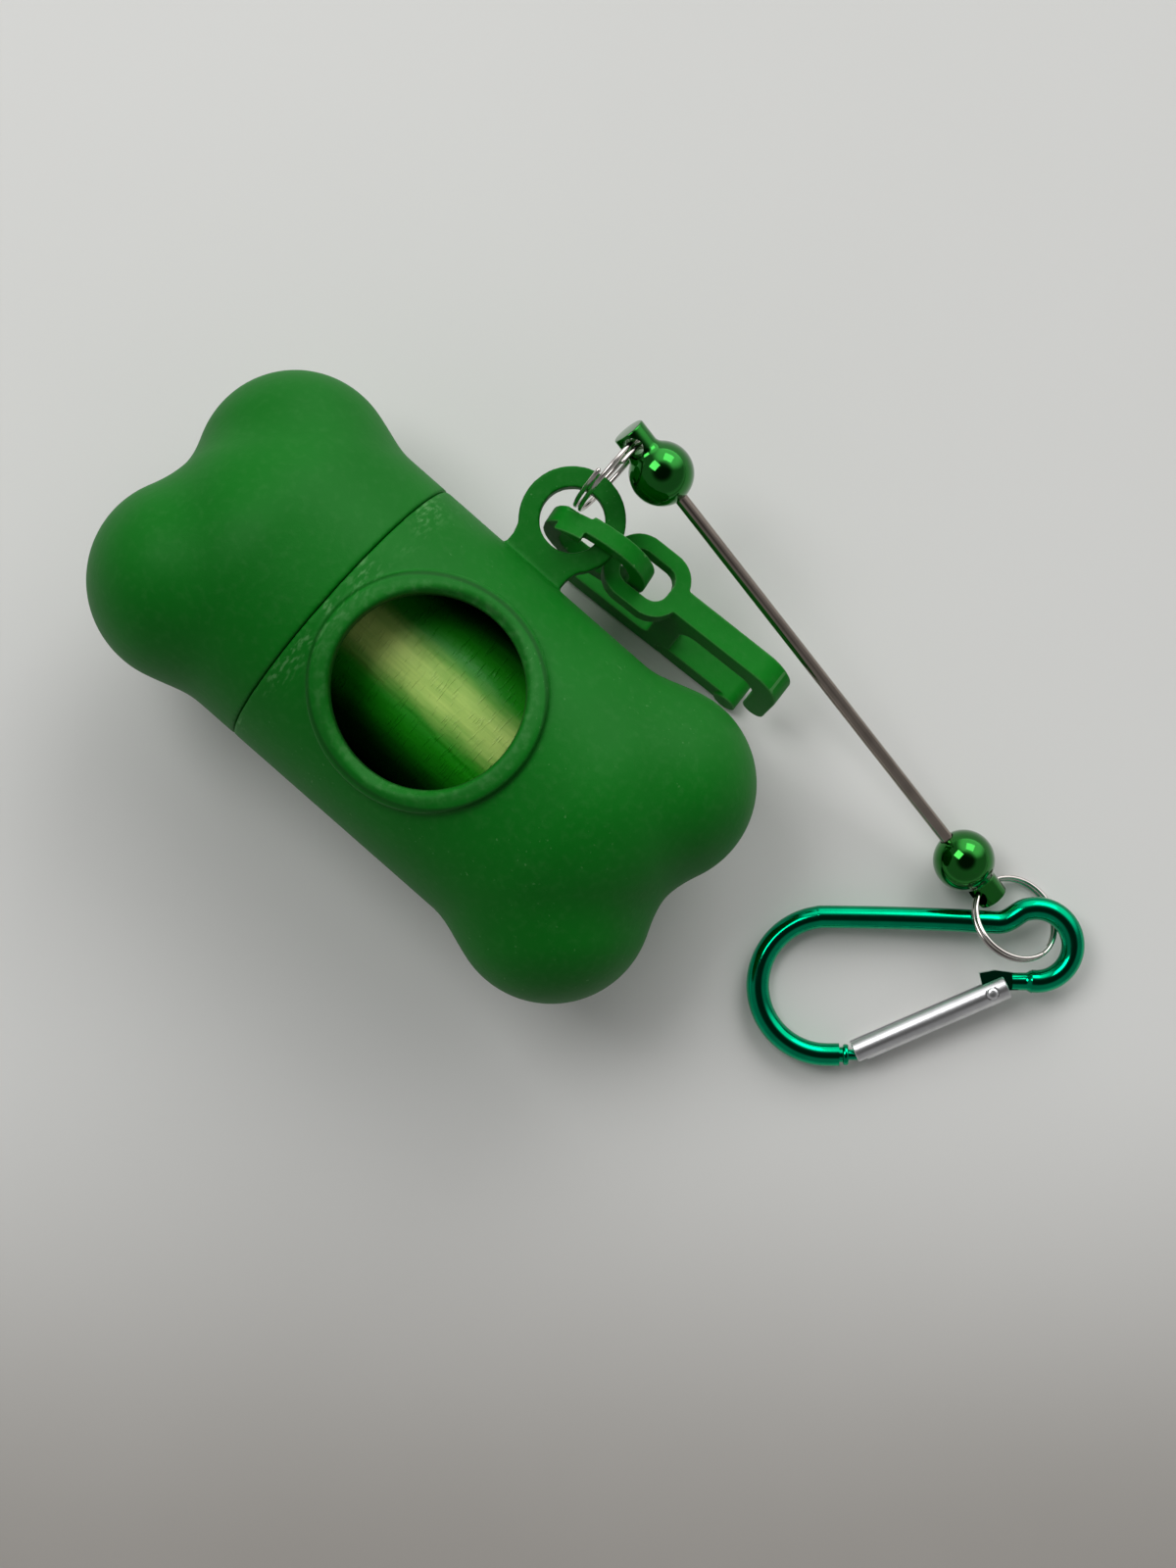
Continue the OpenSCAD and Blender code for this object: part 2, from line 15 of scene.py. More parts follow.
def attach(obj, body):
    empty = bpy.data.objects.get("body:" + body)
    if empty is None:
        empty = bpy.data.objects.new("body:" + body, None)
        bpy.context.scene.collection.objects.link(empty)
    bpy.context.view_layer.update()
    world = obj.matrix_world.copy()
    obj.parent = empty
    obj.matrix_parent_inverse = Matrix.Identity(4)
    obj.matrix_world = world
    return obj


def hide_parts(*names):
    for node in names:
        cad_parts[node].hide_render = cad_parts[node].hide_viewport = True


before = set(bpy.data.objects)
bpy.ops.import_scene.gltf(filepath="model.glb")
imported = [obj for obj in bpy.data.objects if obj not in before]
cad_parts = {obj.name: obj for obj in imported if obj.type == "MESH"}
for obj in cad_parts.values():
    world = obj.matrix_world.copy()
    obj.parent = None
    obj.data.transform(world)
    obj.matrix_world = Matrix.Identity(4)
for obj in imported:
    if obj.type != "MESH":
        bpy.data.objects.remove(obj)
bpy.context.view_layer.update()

bl_info = {
    "name": "Bag Dispenser Dressing",
    "version": (1, 0, 0),
    "blender": (4, 5, 0),
    "location": "3D View > Sidebar > Dispenser",
    "description": "Builds the looks of a bone-shaped bag dispenser, its hook and its carabiner",
    "category": "Object",
}

MM = 0.001
# The middle of the seam, in millimetres in the frame
SEAM_AT = Vector((-36.3923, -9.773, 0.0))
# The middle of the picture, in millimetres from the seam
PICTURE_CENTRE = Vector((37.0, 4.27, 0))
# Room that the roll keeps in the throat, and the upper ring on the side ring
CLEAR = 0.3
# Play of a pin, rod or tongue in its seat, on the radius
FIT = 0.04
# Wires are drawn a little thin, so that they stay apart in every pose: the split rings' radius
# as a share of their wire's diameter, and the millimetres off the carabiner's radius
RING_RADIUS = 0.42
CARABINER_THINNER = 0.03


# Sizes and colours that a user may change


def length(name, description, mm):
    """A length property whose default is given in millimetres."""
    return bpy.props.FloatProperty(
        name=name, description=description, default=mm * MM, min=0, precision=4, unit="LENGTH"
    )


def angle(name, description, degrees):
    """An angle property whose default is given in degrees."""
    return bpy.props.FloatProperty(
        name=name, description=description, default=math.radians(degrees), subtype="ANGLE"
    )


def number(name, description, value, high=1.0):
    """A plain number from 0 to high."""
    return bpy.props.FloatProperty(
        name=name, description=description, default=value, min=0, max=high
    )


def paint(name, description, rgb):
    """A colour property in linear values."""
    return bpy.props.FloatVectorProperty(
        name=name, description=description, default=rgb, min=0, max=1, size=3, subtype="COLOR"
    )


class HousingSizes(bpy.types.PropertyGroup):
    """The two green housing halves, the hole and the side ring."""

    shaft_d: length("Middle diameter", "Outside diameter of the round middle", 40)
    body_len: length("Body length", "From the seam to the body's lobe tips", 55.9)
    cap_len: length("Cap length", "From the seam to the cap's lobe tips", 28.9)
    wall: length("Wall", "Wall thickness of body and cap", 2.2)
    lobe_r: length("Lobe radius", "Radius of a lobe seen from above", 12.6)
    lobe_offset: length("Lobe offset", "Distance of a lobe's centre from the axis", 9.8)
    lobe_t: length("Lobe thickness", "Thickness of the lobes", 29)
    dome_len: length("Dome length", "Length over which the middle domes over", 17)
    lobe_blend: length("Lobe blend", "Width of the soft blend between lobes and middle", 2.2)
    cap_turn: angle("Cap turn", "Angle by which the cap stands turned", 17)
    neck_len: length("Neck length", "Length of the neck that the cap pushes on to", 7.5)
    neck_wall: length("Neck wall", "Wall thickness of the neck", 1.6)
    neck_gap: length("Neck gap", "Gap between neck and cap", 0.08)
    seam_gap: length("Seam gap", "Width of the fine open line at the seam", 0.3)
    hole_d: length("Hole diameter", "Diameter of the dispensing hole", 23)
    hole_x: length("Hole place", "Distance of the hole's centre from the seam", 15.8)
    rim_w: length("Rim width", "Width of the raised rim round the hole", 2.7)
    rim_h: length("Rim height", "Height of the rim over the housing", 1.2)
    lug_x: length("Side ring place", "Distance of the side ring from the seam", 13.9)
    lug_od: length("Side ring diameter", "Outside diameter of the side ring", 13.4)
    lug_id: length("Side ring hole", "Hole diameter of the side ring", 8.2)
    lug_t: length("Side ring thickness", "Thickness of the side ring", 3)
    lug_reach: length("Side ring reach", "From the housing's side to the ring's centre", 7.6)
    lug_web: length("Web width", "Width of the web that carries the ring", 8.8)
    roll_d: length("Roll diameter", "Diameter of the wound roll of bags", 27)
    roll_play: length("Roll play", "Play at each end of the roll", 0.8)
    core_id: length("Core bore", "Hole diameter of the card core", 11)
    core_wall: length("Core wall", "Wall thickness of the card core", 1)


class HookSizes(bpy.types.PropertyGroup):
    """The plastic link and the snap hook."""

    link_len: length("Link length", "Length of the plastic link", 15)
    link_h: length("Link height", "Height of the plastic link", 14.4)
    link_w: length("Link width", "Width of the link's strap", 2.4)
    link_t: length("Link thickness", "Thickness of the link's strap", 2.4)
    link_head: length("Link head", "How far the link's head stands over the side ring", 0.9)
    link_step: length("Link step", "Side step of the link's snap head", 0.45)
    link_yaw: angle("Link turn", "Turn of the link, seen from above", 8.5)
    link_lean: angle("Link lean", "Lean of the link away from the housing", 12)
    hook_len: length("Hook length", "Length of the hook", 32.8)
    hook_h: length("Hook height", "Height of the hook", 17)
    hook_t: length("Hook thickness", "Thickness of the hook", 3.6)
    hook_limb: length("Limb width", "Width of the hook's limbs", 3.8)
    hook_left: length("Tail length", "How far the lower tail reaches back from the eye", 10)
    hook_lean: angle("Hook lean", "Lean of the hook away from the housing", 14)
    hook_yaw: angle("Hook turn", "Turn of the hook, seen from above", 3)
    eye_len: length("Eye length", "Length of the eye on top of the hook", 11.2)
    eye_w: length("Eye width", "Width of the eye", 9.2)
    eye_rim: length("Eye rim", "Width of the eye's rim", 2.1)
    eye_t: length("Eye thickness", "Thickness of the eye", 2.6)


class ChainSizes(bpy.types.PropertyGroup):
    """Split rings, bead bar and carabiner."""

    ring_d: length("Ring diameter", "Mean diameter of both split rings", 11.6)
    ring_wire: length("Ring wire", "Wire diameter of the split rings", 0.7)
    ball_d: length("Ball diameter", "Diameter of the balls", 8.1)
    stub_d: length("Stub diameter", "Diameter of the stub on each ball", 4.2)
    stub_reach: length("Stub reach", "From a ball's centre to the end of its stub", 6.8)
    cross_d: length("Cross hole", "Diameter of the cross hole in each stub", 2.6)
    bar_len: length("Bar length", "Distance between the balls' centres", 65.7)
    rod_d: length("Rod diameter", "Diameter of the rod", 1.7)
    bar_yaw: angle("Bar turn", "Turn of the bar, seen from above", 8.8)
    wire_d: length("Carabiner wire", "Wire diameter of the carabiner", 3.1)
    wide_r: length("Wide end radius", "Radius of the wide end, to the wire's middle", 9.1)
    narrow_r: length("Narrow end radius", "Radius of the narrow end, to the wire's middle", 4.8)
    end_dist: length("End distance", "Distance between the centres of the two ends", 27.4)
    end_offset: length("End offset", "Offset of the narrow end to the spine's side", 5.5)
    carabiner_yaw: angle("Carabiner turn", "Turn of the carabiner, seen from above", 41.3)
    gate_d: length("Gate diameter", "Diameter of the gate tube", 3.3)
    gate_wall: length("Gate wall", "Wall thickness of the gate tube", 0.4)
    rivet_d: length("Rivet diameter", "Diameter of the gate's rivet", 1.1)


class FinishColours(bpy.types.PropertyGroup):
    """Colours of the materials, as linear values."""

    plastic: paint("Plastic", "Moulded green plastic", (0.001, 0.138, 0.006))
    # Colour of rubbed plastic by the seam, also of the painted highlights on thin edges and the
    # rim's crest
    scuff_and_highlight: paint("Scuffs", "Rubbed plastic by the seam", (0.14, 0.34, 0.13))
    film: paint("Film", "Wound green film", (0.008, 0.270, 0.003))
    # Colour of the painted highlight along the film's top
    film_highlight: paint("Film light", "Film where light comes through its folds", (0.60, 0.80, 0.20))
    card: paint("Card", "Card core of the roll", (0.42, 0.28, 0.16))
    steel: paint("Steel", "Split rings and rod", (0.60, 0.56, 0.53))
    # Painted shade: the rod's steel is darker and browner than the rings' steel, standing in for
    # the dark reflection along the rod
    rod: paint("Rod", "Darkened steel of the rod", (0.33, 0.28, 0.24))
    ball: paint("Ball coat", "Metallic green coat of the balls", (0.002, 0.18, 0.008))
    anodised: paint("Anodised", "Anodised green of the carabiner", (0.0, 0.38, 0.17))
    aluminium: paint("Aluminium", "Bare aluminium of the gate", (0.74, 0.74, 0.75))
    floor: paint("Floor", "Pale floor and backdrop", (0.70, 0.70, 0.68))
    # Colour of the painted shadow on the floor, on the viewer's side
    floor_shade: paint("Floor shade", "Floor on the viewer's side", (0.33, 0.31, 0.285))


class StageSetup(bpy.types.PropertyGroup):
    """Camera and light."""

    camera_height: length("Camera height", "Height of the camera over the floor", 313)
    lens: number("Lens", "Focal length in millimetres for a 36 mm sensor", 54, high=200)
    camera_turn: angle("Camera turn", "Turn of the picture against the housing", 41.3)
    sky: number("Sky", "Strength of the light from all round", 0.80, high=5)
    top_panel: number("Top panel", "Watts of the soft lamp over the far side", 2.0, high=100)
    side_panel: number("Side panel", "Watts of the low soft lamp", 1.15, high=100)


GROUPS = {
    "dispenser_housing": HousingSizes,
    "dispenser_hook": HookSizes,
    "dispenser_chain": ChainSizes,
    "dispenser_colours": FinishColours,
    "dispenser_stage": StageSetup,
}


def sizes():
    """All sizes as plain numbers: lengths in millimetres, angles in radians."""
    found = {}
    for name, group in GROUPS.items():
        values = getattr(bpy.context.scene, name)
        for key in group.__annotations__:
            value = getattr(values, key)
            is_length = values.bl_rna.properties[key].unit == "LENGTH"
            found[key] = value / MM if is_length else value
    return SimpleNamespace(**found)


def colour(name):
    """A colour of the finish as four numbers."""
    return (*getattr(bpy.context.scene.dispenser_colours, name), 1.0)


def dimmed(rgba, factor):
    """The colour, darker by factor."""
    return (*(k * factor for k in rgba[:3]), 1.0)


# Where things lie


def unit(v):
    """The vector, brought to a length of one."""
    v = np.asarray(v, float)
    return v / np.linalg.norm(v)


def move(x, y, z):
    """Matrix that moves by x, y and z."""
    return Matrix.Translation((x, y, z))


def turn(x=0.0, y=0.0, z=0.0):
    """Matrix that turns about X, then Y, then Z, by radians."""
    return Matrix.Rotation(z, 4, "Z") @ Matrix.Rotation(y, 4, "Y") @ Matrix.Rotation(x, 4, "X")


def stand(o, x, z):
    """Matrix that puts the X and Z axes along the unit vectors x and z, at o."""
    x, z = Vector(x), Vector(z)
    y = z.cross(x)
    return Matrix.Translation(Vector(o)) @ Matrix((x, y, z)).transposed().to_4x4()


def layout():
    """Places and directions that several pieces share, worked out from the sizes."""
    s = sizes()
    s.shaft_r = s.shaft_d / 2
    s.socket_r = s.shaft_r - s.wall
    s.neck_r = s.socket_r - s.neck_gap
    s.throat_r = s.neck_r - s.neck_wall
    s.ring_y = s.shaft_r + s.lug_reach
    s.dome_back = s.dome_len + 2.4

    # The roll lies low in the throat and a little to one side
    sink = s.throat_r - s.roll_d / 2 - CLEAR
    aside = math.radians(38)
    room = (s.dome_len - s.wall) * math.sqrt(1 - ((s.throat_r - CLEAR) / s.socket_r) ** 2)
    room -= s.dome_back + s.roll_play
    s.roll_len = s.cap_len + s.body_len + 2 * room
    s.roll_at = Vector(
        (-s.cap_len - room, sink * math.sin(aside), s.shaft_r - sink * math.cos(aside))
    )

    # The upper ring hangs on the side ring's outer limb and holds the upper ball's stub
    hold_r = s.ring_d / 2 - 0.18
    limb = np.array([s.lug_x, s.ring_y + (s.lug_od + s.lug_id) / 4, s.shaft_r])
    limb_r = math.hypot((s.lug_od - s.lug_id) / 2, s.lug_t) / 2
    seat = (s.ring_d - s.ring_wire) / 2 - limb_r - CLEAR
    lift, hold = math.radians(52), math.radians(34)
    s.upper_hold = hold
    s.upper_ring_at = limb + seat * np.array([0, math.cos(lift), math.sin(lift)])
    upper_hole = s.upper_ring_at + hold_r * np.array([0, math.cos(hold), math.sin(hold)])

    # The bar slopes down until the end of the lower stub is just over the floor
    floor_gap = 0.6
    s.hole_back = s.stub_reach - s.cross_d / 2 - 0.5
    run = s.bar_len + s.stub_reach + s.hole_back
    drop = math.asin((upper_hole[2] - floor_gap) / math.hypot(run, s.stub_d / 2))
    drop -= math.atan2(s.stub_d / 2, run)
    cos_yaw, sin_yaw = math.cos(s.bar_yaw), math.sin(s.bar_yaw)
    s.bar_dir = np.array([math.cos(drop) * cos_yaw, -math.cos(drop) * sin_yaw, -math.sin(drop)])
    s.bar_up = np.cross(s.bar_dir, [sin_yaw, cos_yaw, 0])
    s.upper_ball_at = upper_hole + s.hole_back * s.bar_dir
    s.lower_ball_at = s.upper_ball_at + s.bar_len * s.bar_dir
    lower_hole = s.lower_ball_at + s.hole_back * s.bar_dir

    # How far the lower ring tilts, how far it is turned, and where on it the ball hangs
    tilt, around, swing = (math.radians(a) for a in (31.4, 5.9, 166.9))
    s.lower_swing = swing
    ahead, aslant = math.cos(around), math.sin(around)
    s.lower_ring_x = np.array([-ahead, -aslant, 0])
    s.lower_ring_z = np.array([-math.sin(tilt) * aslant, math.sin(tilt) * ahead, math.cos(tilt)])
    s.lower_ring_y = np.cross(s.lower_ring_z, s.lower_ring_x)
    s.lower_ring_at = lower_hole + hold_r * (
        math.cos(swing) * s.lower_ring_x + math.sin(swing) * s.lower_ring_y
    )

    s.link_at = Vector(
        (
            s.lug_x - s.lug_id / 2 + 1.3 + s.link_len / 2,
            s.ring_y - 0.35,
            s.shaft_r + s.lug_t / 2 + s.link_head + s.link_t - s.link_h / 2,
        )
    )
    s.hook_low = s.hook_h - s.eye_t / 2
    s.hook_at = Vector(
        (
            s.link_at.x + s.link_len / 2 - 0.8,
            s.ring_y + 1.1,
            s.hook_low * math.cos(s.hook_lean) + s.hook_t / 2 * math.sin(s.hook_lean) + 0.02,
        )
    )
    s.on_hook = Matrix.Translation(s.hook_at) @ turn(z=s.hook_yaw) @ turn(x=-s.hook_lean)
    s.post_left = s.eye_len / 2 - s.eye_rim + 0.5
    s.post_right = s.post_left + s.hook_limb
    s.hook_right = s.hook_len - s.hook_left
    s.nose_left = s.hook_right - s.hook_limb + 0.6
    s.tongue_h = s.hook_limb - 0.4

    # The carabiner stands on the outer edge of its wide end and rises a little from there
    foot = s.wide_r + s.wire_d / 2
    s.on_carabiner = (
        move(s.lower_ring_at[0], s.lower_ring_at[1], 0)
        @ turn(z=s.carabiner_yaw)
        @ move(-24.5, -8.94, 0)
        @ move(-foot, 0, 0)
        @ turn(y=-math.radians(3.45))
        @ move(foot, 0, s.wire_d / 2)
    )
    s.neck_end = np.array([s.end_dist - 3.2, 0.7])
    s.rivet_at = np.array([s.end_dist - 5.85, -0.8])
    s.catch_at = np.array([3.6, -s.wide_r + 0.4])
    s.gate_len = float(np.linalg.norm(s.catch_at - s.rivet_at))
    along = (s.catch_at - s.rivet_at) / s.gate_len
    s.on_gate = (
        s.on_carabiner
        @ move(*s.rivet_at, 0)
        @ turn(z=math.atan2(along[1], along[0]))
    )
    return s


# Making meshes


def new_object(name, points, faces):
    """An object with this mesh, in millimetres."""
    mesh = bpy.data.meshes.new(name)
    mesh.from_pydata([tuple(map(float, p)) for p in points], [], faces)
    mesh.update()
    made = bpy.data.objects.new(name, mesh)
    bpy.context.scene.collection.objects.link(made)
    return made


def loft(name, rings, wrap=False):
    """A skin over rings of equally many points: wrapped round, or with a lid at each end."""
    rings = np.asarray(rings, float)
    count, n, _ = rings.shape
    points = rings.reshape(-1, 3)
    faces = [
        (i * n + j, i * n + (j + 1) % n, i_next * n + (j + 1) % n, i_next * n + j)
        for i, i_next in ((i, (i + 1) % count) for i in range(count if wrap else count - 1))
        for j in range(n)
    ]
    if not wrap:
        foot = len(points)
        points = np.vstack([points, rings[0].mean(0), rings[-1].mean(0)])
        last = (count - 1) * n
        faces += [((j + 1) % n, j, foot) for j in range(n)]
        faces += [(last + j, last + (j + 1) % n, foot + 1) for j in range(n)]
    return new_object(name, points, faces)


def circle(sides):
    """Even angles once round."""
    return np.arange(sides) * 2 * math.pi / sides


def lathe(name, profile, sides=96):
    """Turned solid about X through (x, radius) pairs, in the order of rising x."""
    a = circle(sides)
    rings = [
        np.stack([np.full(sides, x), r * np.cos(a), r * np.sin(a)], 1) for x, r in profile
    ]
    return loft(name, rings)


def rod(name, start, end, radius, sides=96):
    """Plain cylinder from start to end, used to cut or join."""
    made = lathe(name, [(0, radius), ((Vector(end) - Vector(start)).length, radius)], sides)
    along = (Vector(end) - Vector(start)).normalized()
    made.data.transform(
        Matrix.Translation(Vector(start)) @ along.to_track_quat("X", "Z").to_matrix().to_4x4()
    )
    return made


def block(name, low, high):
    """Box between two corners, used to cut or join."""
    x, y, z = zip(low, high)
    corners = ((0, 0), (1, 0), (1, 1), (0, 1))
    return loft(name, [[(at, y[j], z[k]) for j, k in corners] for at in x])


def plate(name, outline, low, high):
    """Flat solid of an outline in XY, from z = low to z = high."""
    n = len(outline)
    points = [(x, y, z) for z in (low, high) for x, y in outline]
    area = sum(
        outline[i][0] * outline[(i + 1) % n][1] - outline[(i + 1) % n][0] * outline[i][1]
        for i in range(n)
    )
    order = list(range(n))
    if area <= 0:
        order.reverse()
    faces = [tuple(reversed(order)), tuple(i + n for i in order)]
    faces += [
        (order[k], order[(k + 1) % n], order[(k + 1) % n] + n, order[k] + n) for k in range(n)
    ]
    return new_object(name, points, faces)


def upright(made):
    """Stands a plate made in XY up in XZ."""
    made.data.transform(turn(x=math.pi / 2))
    return made


def rounded(corners, steps=12):
    """Outline through corners (x, y, radius), each rounded to its own radius."""
    outline = []
    for i, (x, y, r) in enumerate(corners):
        p = np.array([x, y], float)
        if r == 0:
            outline.append(p)
            continue
        un = unit(np.array(corners[i - 1][:2]) - p)
        vn = unit(np.array(corners[(i + 1) % len(corners)][:2]) - p)
        half = math.acos(np.clip(un @ vn, -1, 1)) / 2
        side = np.sign(un[0] * vn[1] - un[1] * vn[0])
        centre = p + unit(un + vn) * r / math.sin(half)
        start = p + un * r / math.tan(half) - centre
        for k in range(steps + 1):
            a = side * (2 * half - math.pi) * k / steps
            c, sn = math.cos(a), math.sin(a)
            turned = [start[0] * c - start[1] * sn, start[0] * sn + start[1] * c]
            outline.append(centre + turned)
    return outline


def long_round(length_, height, r):
    """Outline of a block with its corners rounded."""
    x, y = length_ / 2, height / 2
    return rounded([(-x, -y, r), (x, -y, r), (x, y, r), (-x, y, r)], 24)


def spread(points, step):
    """Points a step apart along a smooth curve through the given ones."""
    p = np.asarray(points, float)
    made = []
    for i in range(len(p) - 1):
        a, b, c, d = p[max(i - 1, 0)], p[i], p[i + 1], p[min(i + 2, len(p) - 1)]
        n = max(1, round(float(np.linalg.norm(c - b)) / step))
        square, cube = 2 * a - 5 * b + 4 * c - d, 3 * b - a - 3 * c + d
        for t in np.arange(n) / n:
            made.append(0.5 * (2 * b + (c - a) * t + square * t**2 + cube * t**3))
    made.append(p[-1])
    return np.array(made)


def tube(name, points, radii, up=(0, 0, 1), sides=24):
    """Round tube along points with a radius at each."""
    p = np.asarray(points, float)
    along = np.gradient(p, axis=0)
    along /= np.linalg.norm(along, axis=1, keepdims=True)
    across = np.cross(up, along)
    across /= np.linalg.norm(across, axis=1, keepdims=True)
    over = np.cross(along, across)
    a = circle(sides)
    r = np.broadcast_to(radii, len(p))[:, None, None]
    rings = p[:, None] + r * (
        across[:, None] * np.cos(a)[:, None] + over[:, None] * np.sin(a)[:, None]
    )
    return loft(name, rings)


def flatten(made):
    """Applies the object's modifiers."""
    graph = bpy.context.evaluated_depsgraph_get()
    mesh = bpy.data.meshes.new_from_object(made.evaluated_get(graph))
    made.modifiers.clear()
    made.data = mesh
    return made


def carve(adds, cuts=()):
    """One solid from the objects in adds, less those in cuts. It keeps the first one's name."""
    made, *rest = adds
    for operation, parts in (("UNION", rest), ("DIFFERENCE", cuts)):
        for part in parts:
            step = made.modifiers.new(operation, "BOOLEAN")
            step.operation, step.solver, step.object = operation, "MANIFOLD", part
    flatten(made)
    for part in (*rest, *cuts):
        bpy.data.objects.remove(part)
    return made


def soften(made, voxel, rounds):
    """Rebuilds the skin with small even faces and rounds its edges, as a moulding has them."""
    remesh = made.modifiers.new("even skin", "REMESH")
    remesh.mode, remesh.voxel_size = "VOXEL", voxel
    smooth = made.modifiers.new("round edges", "SMOOTH")
    smooth.factor, smooth.iterations = 0.5, rounds
    return flatten(made)


def settle(made, body, nodes, material, sharp=None):
    """Moves a finished mesh into the frame, in metres, and gives it its body and material."""
    made.data.transform(Matrix.Scale(MM, 4) @ Matrix.Translation(SEAM_AT))
    made.data.shade_smooth()
    if sharp is not None:
        made.data.set_sharp_from_angle(angle=math.radians(sharp))
    made.data.materials.clear()
    made.data.materials.append(material)
    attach(made, body)
    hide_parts(*nodes)


# Shader maths


class Signal:
    """A number that varies over a surface: one output socket, on which + - * work."""

    def __init__(self, socket):
        self.socket = socket

    def math(self, operation, first, second):
        finish = nodes_of(self.socket)
        return finish.node("ShaderNodeMath", {"operation": operation}, {0: first, 1: second})

    def __add__(self, other):
        return self.math("ADD", self, other)

    __radd__ = __add__

    def __sub__(self, other):
        return self.math("SUBTRACT", self, other)

    def __rsub__(self, other):
        return self.math("SUBTRACT", other, self)

    def __mul__(self, other):
        return self.math("MULTIPLY", self, other)

    def within(self, low, high):
        """0 below low, 1 above high and smooth between; high may be the lower one."""
        return nodes_of(self.socket).node(
            "ShaderNodeMapRange",
            {"interpolation_type": "SMOOTHSTEP"},
            {"Value": self, "From Min": low, "From Max": high},
        )


class Finish:
    """The nodes of one material or of the world."""

    def __init__(self, tree):
        self.tree = tree

    def node(self, kind, settings=None, inputs=None, output=0):
        """Adds a node: its settings first, then the values or links of its sockets."""
        made = self.tree.nodes.new(kind)
        for key, value in (settings or {}).items():
            setattr(made, key, value)
        for key, value in (inputs or {}).items():
            if isinstance(value, Signal):
                self.tree.links.new(value.socket, made.inputs[key])
            else:
                made.inputs[key].default_value = value
        return Signal(made.outputs[output]) if made.outputs else None

    def place(self):
        """The place on the piece, in metres, as it lies at rest."""
        return self.node("ShaderNodeTexCoord", output="Object")

    def stretched(self, scale, rotation=(0, 0, 0)):
        """The place, turned and stretched before a pattern reads it."""
        inputs = {"Vector": self.place(), "Rotation": rotation, "Scale": scale}
        return self.node("ShaderNodeMapping", None, inputs)

    def noise(self, size_mm, detail=2.0, stretch=(1, 1, 1), rotation=(0, 0, 0)):
        """Soft noise from 0 to 1 whose spots are about size_mm wide."""
        scale = tuple(k / (size_mm * MM) for k in stretch)
        inputs = {"Vector": self.stretched(scale, rotation), "Scale": 1.0, "Detail": detail}
        return self.node("ShaderNodeTexNoise", None, inputs, "Fac")

    def vectors(self, operation, inputs, output="Vector"):
        """Maths on vectors."""
        return self.node("ShaderNodeVectorMath", {"operation": operation}, inputs, output)

    def distance(self, centre, scale):
        """Distance in metres from a centre, with each axis scaled first."""
        shifted = self.vectors("SUBTRACT", {0: self.place(), 1: centre})
        scaled = self.vectors("MULTIPLY", {0: shifted, 1: scale})
        return self.vectors("LENGTH", {0: scaled}, "Value")

    def toward(self, vector, direction):
        """How far a vector reaches along a direction."""
        return self.vectors("DOT_PRODUCT", {0: vector, 1: direction}, "Value")

    def along(self, axis):
        """The place's X, Y or Z."""
        return self.node("ShaderNodeSeparateXYZ", None, {"Vector": self.place()}, axis)

    def mix(self, factor, first, second):
        """Colour between first and second: sockets 6 and 7 are the colours, output 2 the mix."""
        inputs = {"Factor": factor, 6: first, 7: second}
        return self.node("ShaderNodeMix", {"data_type": "RGBA"}, inputs, 2)

    def bump(self, height, depth_mm, normal=None):
        """Normal of a surface raised by height times depth_mm."""
        inputs = {"Height": height, "Strength": 1.0, "Distance": depth_mm * MM}
        if normal is not None:
            inputs["Normal"] = normal
        return self.node("ShaderNodeBump", None, inputs)

    def surface(self, **sockets):
        """A Principled shader on the output; spaces in socket names are written as _."""
        inputs = {key.replace("_", " "): value for key, value in sockets.items()}
        shader = self.node("ShaderNodeBsdfPrincipled", None, inputs)
        self.node("ShaderNodeOutputMaterial", None, {"Surface": shader})


def nodes_of(socket):
    """The Finish that a socket belongs to."""
    return Finish(socket.id_data)


def material(name):
    """A fresh material and its empty node tree as a Finish."""
    made = bpy.data.materials.new(name)
    made.use_nodes = True
    made.node_tree.nodes.clear()
    return made, Finish(made.node_tree)


# Materials


